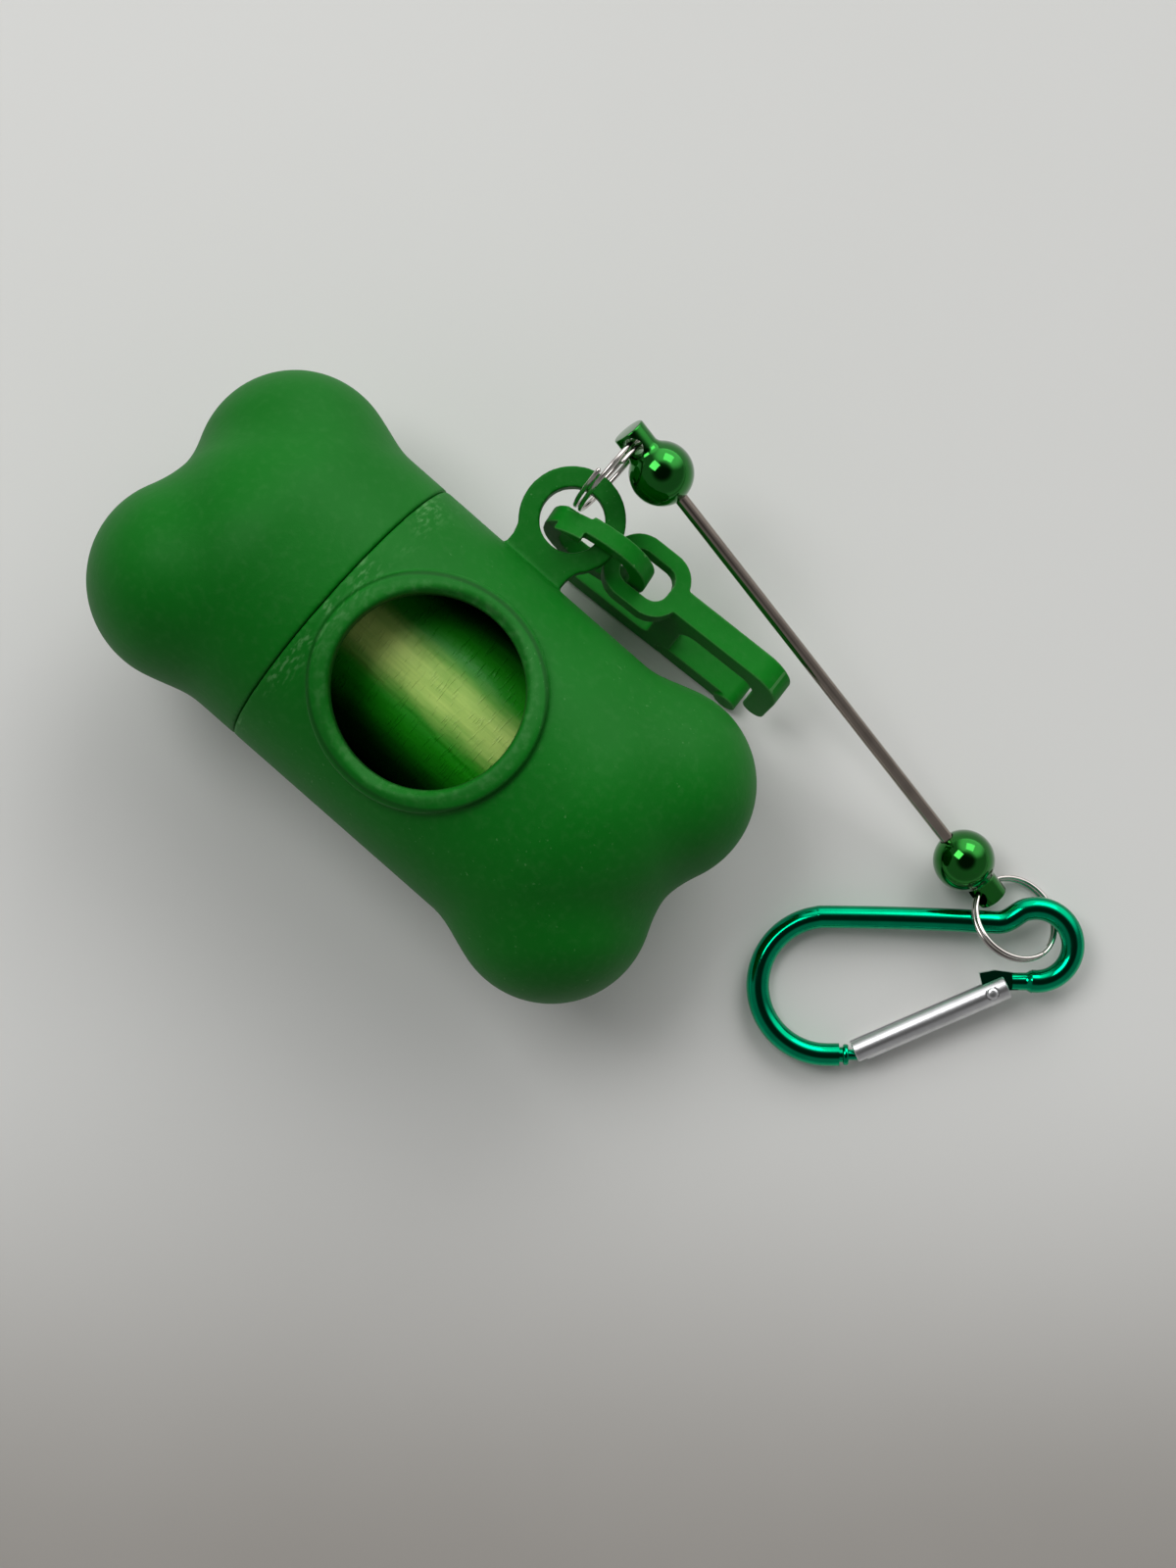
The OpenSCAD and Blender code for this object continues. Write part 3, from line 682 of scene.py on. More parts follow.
def moulded_plastic(name, scuffs=False, hole=None, edges=False):
    """Satin green plastic, nearly even, with a faint frosting.

    scuffs rubs it pale by the seam. hole takes the sizes: it paints shade on the wall of the
    dispensing hole and in the crease round its rim, and a highlight on the rim's crest. edges
    paints a highlight on thin edges and makes the plastic 1.3 times lighter.
    """
    made, f = material(name)
    plastic, pale = dimmed(colour("plastic"), 1.3 if edges else 1.0), colour("scuff_and_highlight")
    cloud = f.noise(16, 3)
    frost = f.noise(1.0, 4)
    grain = f.noise(0.22, 2)
    base = f.mix(cloud.within(0.3, 0.7), dimmed(plastic, 0.90), plastic)
    base = f.mix(frost.within(0.45, 0.8) * 0.05, base, pale)
    rough = 0.46 + frost * 0.08 + cloud * 0.06
    if edges:
        # Painted highlight on thin edges, found by their pointiness
        edge = f.node("ShaderNodeNewGeometry", output="Pointiness").within(0.505, 0.56)
        base = f.mix(edge * 0.45, base, pale)
    if scuffs:
        from_seam = f.along("X") - SEAM_AT.x * MM
        band = from_seam.within(-0.6 * MM, 0.4 * MM) * from_seam.within(4.5 * MM, 0.5 * MM)
        streak = f.noise(0.8, 4, stretch=(1.6, 0.6, 0.6)).within(0.48, 0.68)
        spot = f.noise(6.0, 2).within(0.42, 0.58)
        specks = f.noise(0.55, 1).within(0.70, 0.78) * f.noise(9.0, 1).within(0.42, 0.6)
        rubbed = band * streak * spot
        base = f.mix(rubbed * 0.46 + specks * 0.28, base, pale)
        rough = rough + rubbed * 0.1
    if hole is not None:
        centre = (Vector((hole.hole_x, 0, 0)) + SEAM_AT) * MM
        inside = hole.hole_d / 2
        outside = inside + hole.rim_w
        from_hole = f.distance(centre, (1, 1, 0))
        # Painted shade on the wall of the dispensing hole
        wall = from_hole.within((inside + 0.25) * MM, (inside - 0.1) * MM)
        base = f.mix(wall * 0.75, base, dimmed(plastic, 0.12))
        # The bead looks narrower on the sides, where the housing falls away
        from_bead = f.distance(centre, (1, 1.044, 0))
        # Painted shade in the crease round the rim
        crease = from_bead.within((outside - 0.4) * MM, outside * MM)
        crease = crease * from_bead.within((outside + 0.55) * MM, (outside + 0.05) * MM)
        base = f.mix(crease * 0.55, base, dimmed(plastic, 0.25))
        # Painted highlight on the rim's crest, mottled by the frost
        crest = from_bead.within((inside + 0.2) * MM, (inside + 0.8) * MM)
        crest = crest * from_bead.within((outside - 0.5) * MM, (outside - 1.2) * MM)
        base = f.mix(crest * (0.04 + frost.within(0.4, 0.7) * 0.10), base, pale)
    normal = f.bump(grain, 0.010, f.bump(frost, 0.03, f.bump(cloud, 0.05)))
    f.surface(
        Base_Color=base, Roughness=rough, Normal=normal, IOR=1.46, Specular_IOR_Level=0.15
    )
    return made


def wound_film():
    """Glossy translucent film: a painted highlight on its top, deep green, painted shade to near
    black.
    """
    made, f = material("wound_film")
    folds = f.noise(1.6, 3, stretch=(0.3, 1.6, 1.6), rotation=(0, 0, 0.12))
    creases = f.noise(0.6, 2, stretch=(2.4, 0.25, 0.25))
    lines = f.noise(0.5, 2, stretch=(0.06, 1, 1))
    blotch = f.noise(5, 3, stretch=(0.8, 1, 1))
    streak_y, waver = 1.4, 1.4
    from_streak = f.along("Y") - (SEAM_AT.y + streak_y) * MM + folds * (waver * MM)
    # Painted shade: body darkens the film's sides from deep green to near black
    body = from_streak.within(-10.5 * MM, -5.0 * MM) * from_streak.within(11.0 * MM, 5.0 * MM)
    # Painted highlight: the light streak along the roll's top, fixed to the film
    painted_highlight = from_streak.within(-4.6 * MM, -0.2 * MM) * from_streak.within(5.0 * MM, 0.6 * MM)
    base = f.mix(body, dimmed(colour("film"), 0.04), colour("film"))
    base = f.mix(painted_highlight * (0.15 + lines * 0.5 + blotch * 0.75), base, colour("film_highlight"))
    normal = f.bump(folds, 0.08, f.bump(creases.within(0.55, 0.75), 0.06))
    f.surface(
        Base_Color=base,
        Roughness=0.30 + lines * 0.2,
        Normal=normal,
        IOR=1.5,
        Specular_IOR_Level=0.3,
        Coat_Weight=0.2,
        Coat_Roughness=0.25,
    )
    return made


def card_board():
    """Brown card with a fine fibre."""
    made, f = material("card_board")
    fibre = f.noise(0.5, 4, stretch=(0.5, 1, 1))
    base = f.mix(fibre, dimmed(colour("card"), 0.7), colour("card"))
    f.surface(Base_Color=base, Roughness=0.85, Normal=f.bump(fibre, 0.04))
    return made


def bright_metal(name, paint_name, roughness, streaks=None, coat=0.0):
    """Bare or tinted metal with faint smears.

    streaks is the stretch and the rotation of fine drawn lines.
    """
    made, f = material(name)
    smear = f.noise(3.0, 3)
    fine = f.noise(0.25, 2)
    deep = dimmed(colour(paint_name), 0.82)
    base = f.mix(smear.within(0.3, 0.75), colour(paint_name), deep)
    rough = roughness + smear.within(0.35, 0.8) * 0.06
    height = fine * 0.4
    if streaks is not None:
        lines = f.noise(0.18, 2, stretch=streaks[0], rotation=streaks[1])
        rough = rough + lines * 0.04
        height = height + lines * 0.3
    f.surface(
        Base_Color=base,
        Metallic=1.0,
        Roughness=rough,
        Normal=f.bump(height, 0.004),
        Coat_Weight=coat,
        Coat_Roughness=0.03,
    )
    return made


def pale_floor(up):
    """Matte pale floor with a hardly visible mottle and a painted shadow on the side where the
    viewer is.
    """
    made, f = material("pale_floor")
    ahead = f.toward(f.place(), up)
    mottle = f.noise(60, 3)
    # In metres up the picture: where the painted shadow starts and is full, and where it ends
    # again
    near_end, near_full, far_full, far_end = -0.32, -0.13, -0.115, -0.035
    shade = (1 - ahead.within(far_full, far_end)) * ahead.within(near_end, near_full)
    base = f.mix(shade, colour("floor"), colour("floor_shade"))
    base = f.mix(mottle * 0.08, base, (1, 1, 1, 1))
    f.surface(Base_Color=base, Roughness=0.9, Specular_IOR_Level=0.1)
    return made


# Housing


def ball_field(p, centre, radii):
    """Distance-like value of points against an ellipsoid."""
    radii = np.asarray(radii, float)
    return (np.linalg.norm((p - centre) / radii, axis=-1) - 1) * radii.min()


def soft_min(a, b, k):
    """Smaller of two distances, blended over the width k."""
    h = np.maximum(k - np.abs(a - b), 0) / k
    return np.minimum(a, b) - h * h * k / 4


def end_field(p, s, end, inset):
    """Distance-like value against a whole end piece, drawn in all over by inset."""
    x = np.maximum(p[..., 0] - (end - s.dome_back), 0) / (s.dome_len - inset)
    r = s.shaft_r - inset
    value = (np.sqrt(x**2 + (p[..., 1] / r) ** 2 + (p[..., 2] / r) ** 2) - 1) * r
    radii = (s.lobe_r - inset, s.lobe_r - inset, s.lobe_t / 2 - inset)
    for side in (1, -1):
        lobe = ball_field(p, np.array([end - s.lobe_r, side * s.lobe_offset, 0]), radii)
        value = soft_min(value, lobe, s.lobe_blend)
    return value


def end_form(name, s, start, end, inset, sides=224, rings=(40, 84)):
    """End piece as a closed solid, flat at start and found along rays from its axis."""
    hub = end - s.lobe_r - 2
    rows = [(x, math.pi / 2) for x in np.linspace(start, hub, rings[0])]
    rows += [(hub, math.pi / 2 * (1 - i / rings[1])) for i in range(1, rings[1])]
    a = circle(sides)
    o = np.array([[(x, 0, 0)] for x, _ in rows], float)
    ca, sa, ones = np.cos(a), np.sin(a), np.ones(sides)
    d = np.array(
        [np.stack([ones * math.cos(e), math.sin(e) * ca, math.sin(e) * sa], 1) for _, e in rows]
    )
    # Halves the span between a point inside and one outside on each ray
    nearest, farthest, halvings = 5.0, 32.0, 22
    low, high = np.full(d.shape[:2], nearest), np.full(d.shape[:2], farthest)
    for _ in range(halvings):
        middle = (low + high) / 2
        inside = end_field(o + d * middle[..., None], s, end, inset) < 0
        low, high = np.where(inside, middle, low), np.where(inside, high, middle)
    made = loft(name, o + d * low[..., None])
    made.data.transform(move(0, 0, s.shaft_r))
    return made


def hole_rim(s):
    """Rounded bead that follows the round housing about the hole."""
    r = s.hole_d / 2 + s.rim_w / 2
    sunk, squareness, sides, steps = 0.5, 0.5, 32, 240
    b = -circle(sides)
    wide = s.rim_w / 2 * np.sign(np.cos(b)) * np.abs(np.cos(b)) ** squareness
    high = (s.rim_h + sunk) * np.sign(np.sin(b)) * np.abs(np.sin(b)) ** squareness
    rings = []
    for a in circle(steps):
        out = np.array([math.cos(a), math.sin(a), 0])
        side = r * math.sin(a) / s.shaft_r
        normal = np.array([0, side, math.sqrt(1 - side**2)])
        middle = (s.hole_x + r * math.cos(a), 0, s.shaft_r) + normal * (s.shaft_r - sunk)
        across = unit(out - normal * (out @ normal))
        rings.append(middle + np.outer(wide, across) + np.outer(high, normal))
    return loft("rim", rings, wrap=True)


class DISPENSER_OT_body(bpy.types.Operator):
    """Body half of the housing with its hole, rim, side ring and neck"""

    bl_idname = "dispenser.body"
    bl_label = "Body"

    def execute(self, context):
        s = layout()
        axis = s.shaft_r
        outer = end_form("dispenser_body", s, 0, s.body_len, 0)
        rim = hole_rim(s)
        below, above = axis - s.lug_t / 2, axis + s.lug_t / 2
        # One side of the web, from the housing's wall out to the side ring, and its mirror image
        right = [
            (s.lug_web / 2, s.socket_r + 0.8),
            (s.lug_web / 2, s.shaft_r + 1.4),
            (s.lug_od * 0.42, s.ring_y - 1.8),
        ]
        left = [(-x, y) for x, y in reversed(right)]
        outline = [(s.lug_x + x, y) for x, y in (left[-1], *right, *left[:-1])]
        web = plate("web", outline, below, above)
        ring_low, ring_high = (s.lug_x, s.ring_y, below), (s.lug_x, s.ring_y, above)
        ring = rod("ring", ring_low, ring_high, s.lug_od / 2)
        inner = end_form("inner", s, s.neck_len / 2, s.body_len, s.wall, 128, (30, 60))
        shell = carve([outer, rim, web, ring], [inner])
        neck = rod("neck", (-s.neck_len, 0, axis), (1, 0, axis), s.neck_r, 192)
        throat_ends = (-s.neck_len - 1, 0, axis), (s.neck_len / 2 + 1, 0, axis)
        throat = rod("throat", *throat_ends, s.throat_r, 192)
        hole = rod("hole", (s.hole_x, 0, axis), (s.hole_x, 0, 3 * axis), s.hole_d / 2, 160)
        eye = rod("eye", (s.lug_x, s.ring_y, 0), (s.lug_x, s.ring_y, 2 * axis), s.lug_id / 2)
        shell = carve([shell, neck], [throat, hole, eye])
        soften(shell, voxel=0.25, rounds=4)
        plastic = moulded_plastic("body_plastic", scuffs=True, hole=s)
        settle(shell, "housing", ["body_shell"], plastic)
        return {"FINISHED"}


class DISPENSER_OT_cap(bpy.types.Operator):
    """Cap half of the housing, turned a little from the body"""

    bl_idname = "dispenser.cap"
    bl_label = "Cap"

    def execute(self, context):
        s = layout()
        axis = s.shaft_r
        outer = end_form("dispenser_cap", s, s.seam_gap / 3, s.cap_len, 0, rings=(24, 84))
        inner = end_form("inner", s, s.neck_len + 0.5, s.cap_len, s.wall, 128, (16, 60))
        socket = rod("socket", (-1, 0, axis), (s.neck_len + 1, 0, axis), s.socket_r, 192)
        made = soften(carve([outer], [inner, socket]), voxel=0.28, rounds=5)
        made.data.transform(
            move(0, 0, axis)
            @ turn(x=-s.cap_turn)
            @ move(0, 0, -axis)
            @ Matrix.Scale(-1, 4, (1, 0, 0))
        )
        made.data.flip_normals()
        settle(made, "cap", ["end_cap"], moulded_plastic("cap_plastic"))
        return {"FINISHED"}


# Roll


class DISPENSER_OT_roll(bpy.types.Operator):
    """Wound roll of film bags on its card core"""

    bl_idname = "dispenser.roll"
    bl_label = "Bag roll"

    def execute(self, context):
        s = layout()
        rng = np.random.default_rng(5)
        sides, r = 360, s.roll_d / 2
        x = np.linspace(0, s.roll_len, 420)
        a = circle(sides)
        xx, aa = np.meshgrid(x, a, indexing="ij")
        # Height of the skin over the roll's round: a slow wave, soft folds and the loose edge
        height = -0.10 + 0.03 * np.sin(2 * aa + 0.06 * xx)
        for _ in range(26):
            wave, lean = rng.integers(5, 40), rng.uniform(-0.35, 0.35)
            swell = np.exp(-(((xx - rng.uniform(0, s.roll_len)) / rng.uniform(4, 16)) ** 2))
            depth = rng.uniform(0.004, 0.014)
            fold = np.sin(wave * aa + lean * xx + rng.uniform(0, 6.3))
            height = height + depth * swell * fold
        edge = (aa - math.radians(100) - 0.006 * xx) % (2 * math.pi)
        height = height - 0.07 * np.exp(-edge * 5) * (edge > 0)
        radius = r + np.minimum(height, 0)
        rings = np.stack([xx, radius * np.cos(aa), radius * np.sin(aa)], 2)
        core_r = s.core_id / 2 + s.core_wall + 0.05
        bore = np.stack([np.zeros(sides), core_r * np.cos(a), core_r * np.sin(a)], 1)
        lids = []
        for end, sign in ((rings[0], 1), (rings[-1], -1)):
            steps = [end + (bore + [end[0][0], 0, 0] - end) * t for t in np.linspace(0, 1, 40)]
            for k, ring in enumerate(steps[1:-1]):
                ring[:, 0] += sign * (0.10 + 0.08 * math.sin(k * 2.1))
            lids.append(steps)
        skin = [*reversed(lids[0]), *rings[1:-1], *lids[1]]
        film = loft("bag_roll_film", skin, wrap=True)
        film.data.transform(Matrix.Translation(s.roll_at))
        settle(film, "roll", ["bag_roll"], wound_film(), sharp=50)
        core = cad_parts["roll_core"]
        core.data.materials.clear()
        core.data.materials.append(card_board())
        return {"FINISHED"}


# Link and hook


class DISPENSER_OT_link(bpy.types.Operator):
    """Closed plastic strap link with its snap head"""

    bl_idname = "dispenser.link"
    bl_label = "Strap link"

    def execute(self, context):
        s = layout()
        corner = s.link_h / 2 - 0.4
        inner = (s.link_len - 2 * s.link_t, s.link_h - 2 * s.link_t, corner - s.link_t)
        half = s.link_w / 2
        strap = upright(plate("strap_link", long_round(s.link_len, s.link_h, corner), -half, half))
        gap = upright(plate("gap", long_round(*inner), -2 * half, 2 * half))
        high = s.link_h / 2
        step = block(
            "step",
            (-s.link_len / 2, half - s.link_step, high - s.link_t),
            (-2.2, half + s.link_w, high + s.link_t),
        )
        groove = rod("groove", (2.6, -s.link_w, high), (2.6, s.link_w, high), 0.25)
        strap = carve([strap], [gap, step, groove])
        head_w = s.link_w + 0.6
        outline = long_round(s.link_len, s.link_h, corner)
        head = upright(plate("head", outline, -head_w / 2, head_w / 2))
        aside = (s.link_w - head_w) / 2 - s.link_step
        head.data.transform(move(0, aside, 0))
        gap = upright(plate("gap", long_round(*inner), -2 * head_w, 2 * head_w))
        right = block("right", (-2.2, -9, -9), (20, 9, 9))
        below = block("below", (-20, -9, -20), (20, 9, high - s.link_t))
        head = carve([head], [gap, right, below])
        made = soften(carve([strap, head]), voxel=0.12, rounds=6)
        leaning = turn(z=s.link_yaw) @ turn(x=-s.link_lean)
        made.data.transform(Matrix.Translation(s.link_at) @ leaning)
        plastic = moulded_plastic("link_plastic", edges=True)
        settle(made, "link", ["connecting_link"], plastic)
        return {"FINISHED"}


class DISPENSER_OT_hook(bpy.types.Operator):
    """Moulded snap hook with its flat eye and springy tongue"""

    bl_idname = "dispenser.hook"
    bl_label = "Snap hook"

    def execute(self, context):
        s = layout()
        top, low, half = s.eye_t / 2, -s.hook_low, s.hook_t / 2
        outline = rounded(
            [
                (s.post_left, top, 0),
                (s.hook_right, top, 4.6),
                (s.hook_right, 4.2 + low, 1.6),
                (s.nose_left, 4.2 + low, 1.4),
                (s.nose_left, top - s.hook_limb, 2.6),
                (s.post_right, top - s.hook_limb, 2.4),
                (s.post_right, low, 0),
                (-s.hook_left, low, 1.7),
                (-s.hook_left, low + s.tongue_h, 1.6),
                (s.post_left, low + s.tongue_h, 1.2),
            ]
        )
        frame_plate = upright(plate("snap_hook", outline, -half, half))
        knuckle = low + s.tongue_h / 2
        seat_r = s.tongue_h / 2 + FIT
        seat = rod("seat", (s.post_right, -4, knuckle), (s.post_right, 4, knuckle), seat_r)
        frame_plate = carve([frame_plate], [seat])
        corner = s.eye_w / 2 - 0.6
        eye = plate("eye", long_round(s.eye_len, s.eye_w, corner), -top, top)
        inner = (s.eye_len - 2 * s.eye_rim, s.eye_w - 2 * s.eye_rim, corner - s.eye_rim)
        opening = plate("opening", long_round(*inner), -2 * top, 2 * top)
        made = soften(carve([frame_plate, eye], [opening]), voxel=0.13, rounds=6)
        made.data.transform(s.on_hook)
        plastic = moulded_plastic("hook_plastic", edges=True)
        settle(made, "hook", ["hook_frame"], plastic)

        r = s.tongue_h / 2
        tip = s.nose_left - 0.2 - r - s.post_right
        bar = block("snap_hook_tongue", (0, -half, -r), (tip, half, r))
        root = rod("root", (0, -half, 0), (0, half, 0), r)
        knob = rod("knob", (tip, -half - 0.4, 0), (tip, half + 0.4, 0), r)
        tongue = soften(carve([bar, root, knob]), voxel=0.13, rounds=5)
        tongue.data.transform(s.on_hook @ move(s.post_right, 0, low + r))
        settle(tongue, "hook_tongue", ["hook_gate"], plastic)
        return {"FINISHED"}


# Rings and bar


def split_ring(name, s, start, held):
    """One wire wound almost twice, level where it is held, with rounded ends."""
    steps, turns, pitch = 360, 1.94, s.ring_wire * 1.12
    level = (held - start) % (2 * math.pi) / (2 * math.pi) + 0.5
    t = np.linspace(0, turns, steps)
    a = start + t * 2 * math.pi
    r = s.ring_d / 2
    points = np.stack([r * np.cos(a), r * np.sin(a), (t - level) * pitch], 1)
    from_end = 2 * math.pi * r * np.minimum(t, turns - t)
    rounding, blunt = 0.25, 0.12
    bulge = np.clip(1 - (1 - np.minimum(from_end / rounding, 1)) ** 2, blunt, 1)
    return tube(name, points, s.ring_wire * RING_RADIUS * np.sqrt(bulge), sides=20)


def bow(start, pull, end, shares):
    """Points on the curve that leaves start toward pull and comes in to end from there."""
    return [
        tuple(
            (1 - t) ** 2 * a + 2 * t * (1 - t) * b + t * t * c
            for a, b, c in zip(start, pull, end)
        )
        for t in shares
    ]


class DISPENSER_OT_rings(bpy.types.Operator):
    """The two wound split rings"""

    bl_idname = "dispenser.rings"
    bl_label = "Split rings"

    def execute(self, context):
        s = layout()
        steel = bright_metal("ring_steel", "steel", 0.16)
        upper = split_ring("split_ring_upper", s, math.radians(100), s.upper_hold)
        upper.data.transform(stand(s.upper_ring_at, (0, 1, 0), (1, 0, 0)))
        settle(upper, "upper_ring", ["upper_split_ring"], steel, sharp=60)
        lower = split_ring("split_ring_lower", s, math.radians(178), s.lower_swing + math.pi)
        lower.data.transform(stand(s.lower_ring_at, s.lower_ring_x, s.lower_ring_z))
        settle(lower, "lower_ring", ["lower_split_ring"], steel, sharp=60)
        return {"FINISHED"}


def bead(name, s, roll):
    """Ball with a stub along +X, a cross hole through the stub and a bore for the rod."""
    r, stub = s.ball_d / 2, s.stub_d / 2
    start = math.pi - math.asin(0.02)
    meet = math.asin(stub / r)
    ball = [(r * math.cos(a), r * math.sin(a)) for a in np.linspace(start, meet + 0.16, 80)]
    foot = r * math.cos(meet) + 0.22
    pull = (ball[-1][0] + 0.42, stub + 0.02)
    fillet = bow(ball[-1], pull, (foot + 0.35, stub), np.linspace(0.1, 1, 10))
    corner = 0.22
    end = [
        (s.stub_reach - corner + corner * math.sin(b), stub - corner + corner * math.cos(b))
        for b in np.linspace(0, math.pi / 2, 8)
    ]
    made = lathe(name, ball + fillet + end + [(s.stub_reach, 0.02)], 160)
    cross = s.cross_d / 2
    mouth = [
        (-2 * stub, cross + 0.35),
        (-stub - 0.02, cross + 0.16),
        (-stub + 0.3, cross),
        (stub - 0.3, cross),
        (stub + 0.02, cross + 0.16),
        (2 * stub, cross + 0.35),
    ]
    hole = lathe("hole", mouth)
    hole.data.transform(
        move(s.hole_back, 0, 0) @ turn(x=roll) @ turn(y=math.pi / 2)
    )
    rod_r = s.rod_d / 2
    flare = [(-2 * r, rod_r + 0.6), (-r + 0.05, rod_r + 0.12), (-r + 0.4, rod_r + FIT)]
    bore = lathe("bore", [*flare, (0.5, rod_r + FIT)])
    return carve([made], [hole, bore])


def hole_roll(s, tangent, x):
    """Turn about x that lines a cross hole up with a ring's tangent."""
    return math.atan2(-tangent @ np.cross(s.bar_up, x), tangent @ s.bar_up)


class DISPENSER_OT_bar(bpy.types.Operator):
    """Bead bar: two metallic balls on a thin steel rod"""

    bl_idname = "dispenser.bar"
    bl_label = "Bead bar"

    def execute(self, context):
        s = layout()
        coat = bright_metal("ball_coat", "ball", 0.07, coat=0.5)
        tangent = np.array([0, -math.sin(s.upper_hold), math.cos(s.upper_hold)])
        upper = bead("bead_upper", s, hole_roll(s, tangent, -s.bar_dir))
        upper.data.transform(stand(s.upper_ball_at, -s.bar_dir, s.bar_up))
        settle(upper, "bar", ["upper_ball"], coat, sharp=35)

        swing = s.lower_swing
        tangent = math.cos(swing) * s.lower_ring_y - math.sin(swing) * s.lower_ring_x
        lower = bead("bead_lower", s, hole_roll(s, tangent, s.bar_dir))
        lower.data.transform(stand(s.lower_ball_at, s.bar_dir, s.bar_up))
        settle(lower, "lower_ball", ["lower_ball"], coat, sharp=35)

        r = s.rod_d / 2
        profile = [(0, 0.1), (0.05, r - 0.1), (0.15, r)]
        profile += [(x, r) for x in np.linspace(0.4, s.bar_len - 0.4, 60)]
        profile += [(s.bar_len - 0.15, r), (s.bar_len - 0.05, r - 0.1), (s.bar_len, 0.1)]
        thin = lathe("bead_rod", profile, 64)
        thin.data.transform(stand(s.upper_ball_at, s.bar_dir, s.bar_up))
        # The rod's steel carries painted shade, darker than the rings' steel
        drawn = bright_metal("rod_steel", "rod", 0.11)
        settle(thin, "bar", ["bar_rod"], drawn, sharp=40)
        return {"FINISHED"}


# Carabiner


def arc(centre, r, start, end, steps):
    """Points on an arc between two angles in degrees."""
    return [
        (centre[0] + r * math.cos(a), centre[1] + r * math.sin(a))
        for a in np.radians(np.linspace(start, end, steps + 1))
    ]


class DISPENSER_OT_carabiner(bpy.types.Operator):
    """Bent and anodised wire with its catch and tang, the gate tube and the rivet"""

    bl_idname = "dispenser.carabiner"
    bl_label = "Carabiner"

    def execute(self, context):
        s = layout()
        r = s.wire_d / 2
        path = [(1.6, -s.wide_r)]
        path += arc((0, 0), s.wide_r, 270, 90, 24)
        path += [
            (8, s.wide_r - 0.1),
            (16, s.wide_r - 0.35),
            (21, s.wide_r - 0.6),
            (22.8, s.wide_r - 0.65),
            (24, s.wide_r - 0.2),
        ]
        path += arc((s.end_dist, s.end_offset), s.narrow_r, 112, -98, 24)
        points = spread([(x, y, 0) for x, y in path], 0.3)
        wire = tube("carabiner_wire", points, r - CARABINER_THINNER, sides=40)

        neck_from = np.array([s.end_dist - 0.6, s.end_offset - s.narrow_r - 0.02])
        line = [(*(neck_from + (s.neck_end - neck_from) * t), 0) for t in np.linspace(0, 1, 12)]
        taper = [r * share for share in (0.98, 0.93, 0.84, *[0.76] * 9)]
        neck = tube("neck", line, taper, sides=40)
        flat = 0.6
        e, p = s.neck_end, s.rivet_at
        by_neck = [e + (0.8, 1.1), e + (0.8, -1.1), e + (-0.6, -1.15)]
        by_rivet = [p + (0.4, -0.95), p + (-0.9, -0.4), p + (-1.6, 2.6), p + (0.4, 3.0)]
        tang = plate("tang", [tuple(q) for q in by_neck + by_rivet], -flat, flat)
        boss = rod("boss", (*p, -flat), (*p, flat), 1.05)
        bore = rod("bore", (*p, -2), (*p, 2), s.rivet_d / 2 + FIT)
        tang = carve([tang, boss, neck], [bore])
        collar = [(1.3, 1.0), (2.05, 1.02), (2.15, 1.32), (2.3, r * 0.9), (2.65, r * 0.9)]
        pin = [(2.8, 1.28), (2.85, 0.7), (4.05, 0.7), (4.2, 0.55), (4.2, 0.02)]
        catch = lathe("catch", collar + pin, 72)
        catch.data.transform(move(0, -s.wide_r, 0))
        made = carve([wire, tang, catch])
        made.data.transform(s.on_carabiner)
        tint = bright_metal("anodised_wire", "anodised", 0.11)
        settle(made, "carabiner", ["carabiner_frame"], tint, sharp=38)

        back, gate_r = 2.2, s.gate_d / 2
        bore_r = gate_r - s.gate_wall
        front = s.gate_len
        corner = 0.12
        profile = [(-back, gate_r - corner), (-back + corner, gate_r)]
        profile += [(x, gate_r) for x in np.linspace(-back + 0.4, front - 0.4, 30)]
        profile += [(front - corner, gate_r), (front, gate_r - corner)]
        shell = lathe("carabiner_gate_tube", profile)
        cuts = [
            rod("bore", (-back - 1, 0, 0), (front + 1, 0, 0), bore_r),
            block("slot", (-back - 1, -s.gate_d, -0.8), (front + 1, 0, 0.8)),
            block("notch", (front - 1.3, 0, -0.95), (front + 0.7, s.gate_d, 0.95)),
            rod("pin", (0, 0, -s.gate_d), (0, 0, s.gate_d), s.rivet_d / 2 + FIT),
        ]
        rivet_seat = gate_r - 0.15
        for side in (-1, 1):
            low, high = (0, 0, side * rivet_seat), (0, 0, side * (rivet_seat + 2))
            cuts.append(rod("flat", low, high, 0.95))
        gate = carve([shell], cuts)
        gate.data.transform(s.on_gate)
        across = (0, 0, -s.carabiner_yaw - math.atan2(*reversed(s.catch_at - s.rivet_at)))
        bare = bright_metal("bare_aluminium", "aluminium", 0.30, ((0.04, 1, 1), across))
        settle(gate, "gate", ["carabiner_gate"], bare, sharp=35)

        shank = rivet_seat + 0.02
        dome = ((0.18, 0.74), (0.30, 0.62), (0.37, 0.4), (0.4, 0.02))
        head = [(shank, s.rivet_d / 2), (shank, 0.75), *((shank + x, y) for x, y in dome)]
        profile = [(-x, y) for x, y in reversed(head)] + head
        rivet = lathe("carabiner_rivet", profile, 72)
        rivet.data.transform(s.on_gate @ turn(y=math.pi / 2))
        settle(rivet, "gate", ["gate_rivet"], bare, sharp=40)
        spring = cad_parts["gate_spring"]
        spring.data.materials.clear()
        spring.data.materials.append(bright_metal("spring_steel", "steel", 0.25))
        return {"FINISHED"}


# Stage


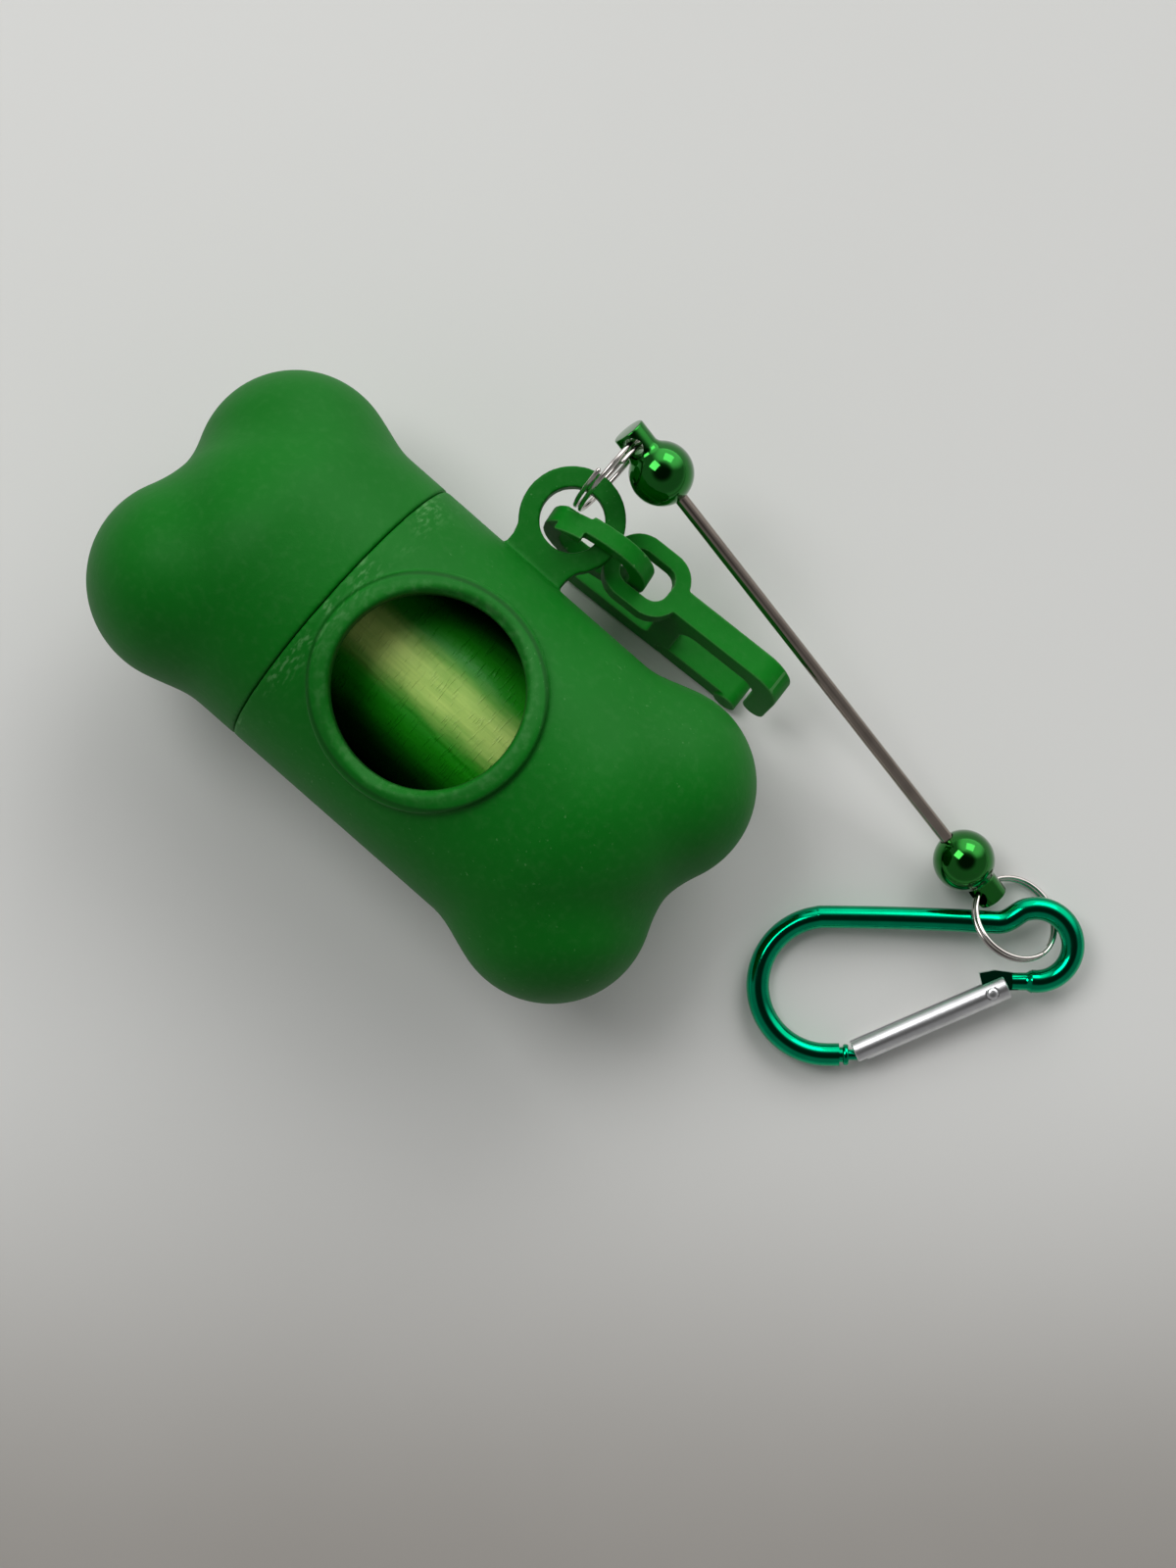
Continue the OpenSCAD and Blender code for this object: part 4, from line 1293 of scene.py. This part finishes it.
class DISPENSER_OT_stage(bpy.types.Operator):
    """Pale floor, soft light and the camera straight over the object"""

    bl_idname = "dispenser.stage"
    bl_label = "Stage"

    def execute(self, context):
        s = sizes()
        scene = context.scene
        scene.view_settings.view_transform = "Standard"

        right = Vector((math.cos(s.camera_turn), math.sin(s.camera_turn), 0))
        up = Vector((-right.y, right.x, 0))

        reach = 3
        corners = [(x * reach, y * reach, 0) for x, y in ((-1, -1), (1, -1), (1, 1), (-1, 1))]
        floor = new_object("floor", corners, [(0, 1, 2, 3)])
        floor.data.materials.append(pale_floor(up))

        world = bpy.data.worlds.new("studio")
        scene.world = world
        world.use_nodes = True
        world.node_tree.nodes.clear()
        f = Finish(world.node_tree)
        direction = f.node("ShaderNodeTexCoord", output="Generated")
        window = (right * 0.35 + up * 0.8 + Vector((0, 0, 0.45))).normalized()
        bright = f.toward(direction, window).within(0.62, 0.92)
        overhead = f.toward(direction, (0, 0, 1)).within(0.72, 0.92)
        horizon = f.toward(direction, (0, 0, 1)).within(0.20, 0.02)
        # Light from all round, more of it from the window and the horizon, less from overhead
        dim, from_window, from_horizon, off_overhead = 0.34, 2.0, 0.30, 0.92
        level = dim + bright * from_window + horizon * from_horizon
        level = level * (1 - overhead * off_overhead) * s.sky
        back = f.node("ShaderNodeBackground", None, {"Color": (1, 1, 1, 1), "Strength": level})
        f.node("ShaderNodeOutputWorld", None, {"Surface": back})

        def panel(name, at, power):
            """Square soft lamp at a place in metres, given along the picture's right and up."""
            size, aim = 0.35, Vector((0, 0, 0.01))
            lamp = bpy.data.lights.new(name, "AREA")
            lamp.shape, lamp.size, lamp.energy = "SQUARE", size, power
            made = bpy.data.objects.new(name, lamp)
            made.location = right * at[0] + up * at[1] + Vector((0, 0, at[2]))
            made.rotation_euler = (aim - made.location).to_track_quat("-Z", "Y").to_euler()
            scene.collection.objects.link(made)

        panel("top_panel", (-0.30, 0.28, 0.62), s.top_panel)
        panel("side_panel", (0.25, 0.56, 0.43), s.side_panel)

        lens = bpy.data.cameras.new("camera")
        lens.sensor_width, lens.lens = 36, s.lens
        lens.clip_start = 0.01
        seen = bpy.data.objects.new("camera", lens)
        centre = (PICTURE_CENTRE + SEAM_AT) * MM
        seen.location = (centre.x, centre.y, s.camera_height * MM)
        seen.rotation_euler = (0, 0, s.camera_turn)
        scene.collection.objects.link(seen)
        scene.camera = seen
        return {"FINISHED"}


class DISPENSER_PT_panel(bpy.types.Panel):
    """Lists the sizes and the steps"""

    bl_idname = "DISPENSER_PT_panel"
    bl_label = "Bag dispenser"
    bl_space_type = "VIEW_3D"
    bl_region_type = "UI"
    bl_category = "Dispenser"

    def draw(self, context):
        for name, group in GROUPS.items():
            box = self.layout.box()
            box.label(text=group.__doc__)
            for key in group.__annotations__:
                box.prop(getattr(context.scene, name), key)
        for step in STEPS:
            self.layout.operator(step.bl_idname)


STEPS = (
    DISPENSER_OT_stage,
    DISPENSER_OT_body,
    DISPENSER_OT_cap,
    DISPENSER_OT_roll,
    DISPENSER_OT_link,
    DISPENSER_OT_hook,
    DISPENSER_OT_rings,
    DISPENSER_OT_bar,
    DISPENSER_OT_carabiner,
)


def register():
    for kind in (*GROUPS.values(), *STEPS, DISPENSER_PT_panel):
        bpy.utils.register_class(kind)
    for name, group in GROUPS.items():
        setattr(bpy.types.Scene, name, bpy.props.PointerProperty(type=group))


def unregister():
    for name in GROUPS:
        delattr(bpy.types.Scene, name)
    for kind in (DISPENSER_PT_panel, *reversed(STEPS), *reversed(GROUPS.values())):
        bpy.utils.unregister_class(kind)


def main():
    """Runs every step in order."""
    register()
    for step in STEPS:
        group, action = step.bl_idname.split(".")
        getattr(getattr(bpy.ops, group), action)()


if __name__ == "__main__":
    main()
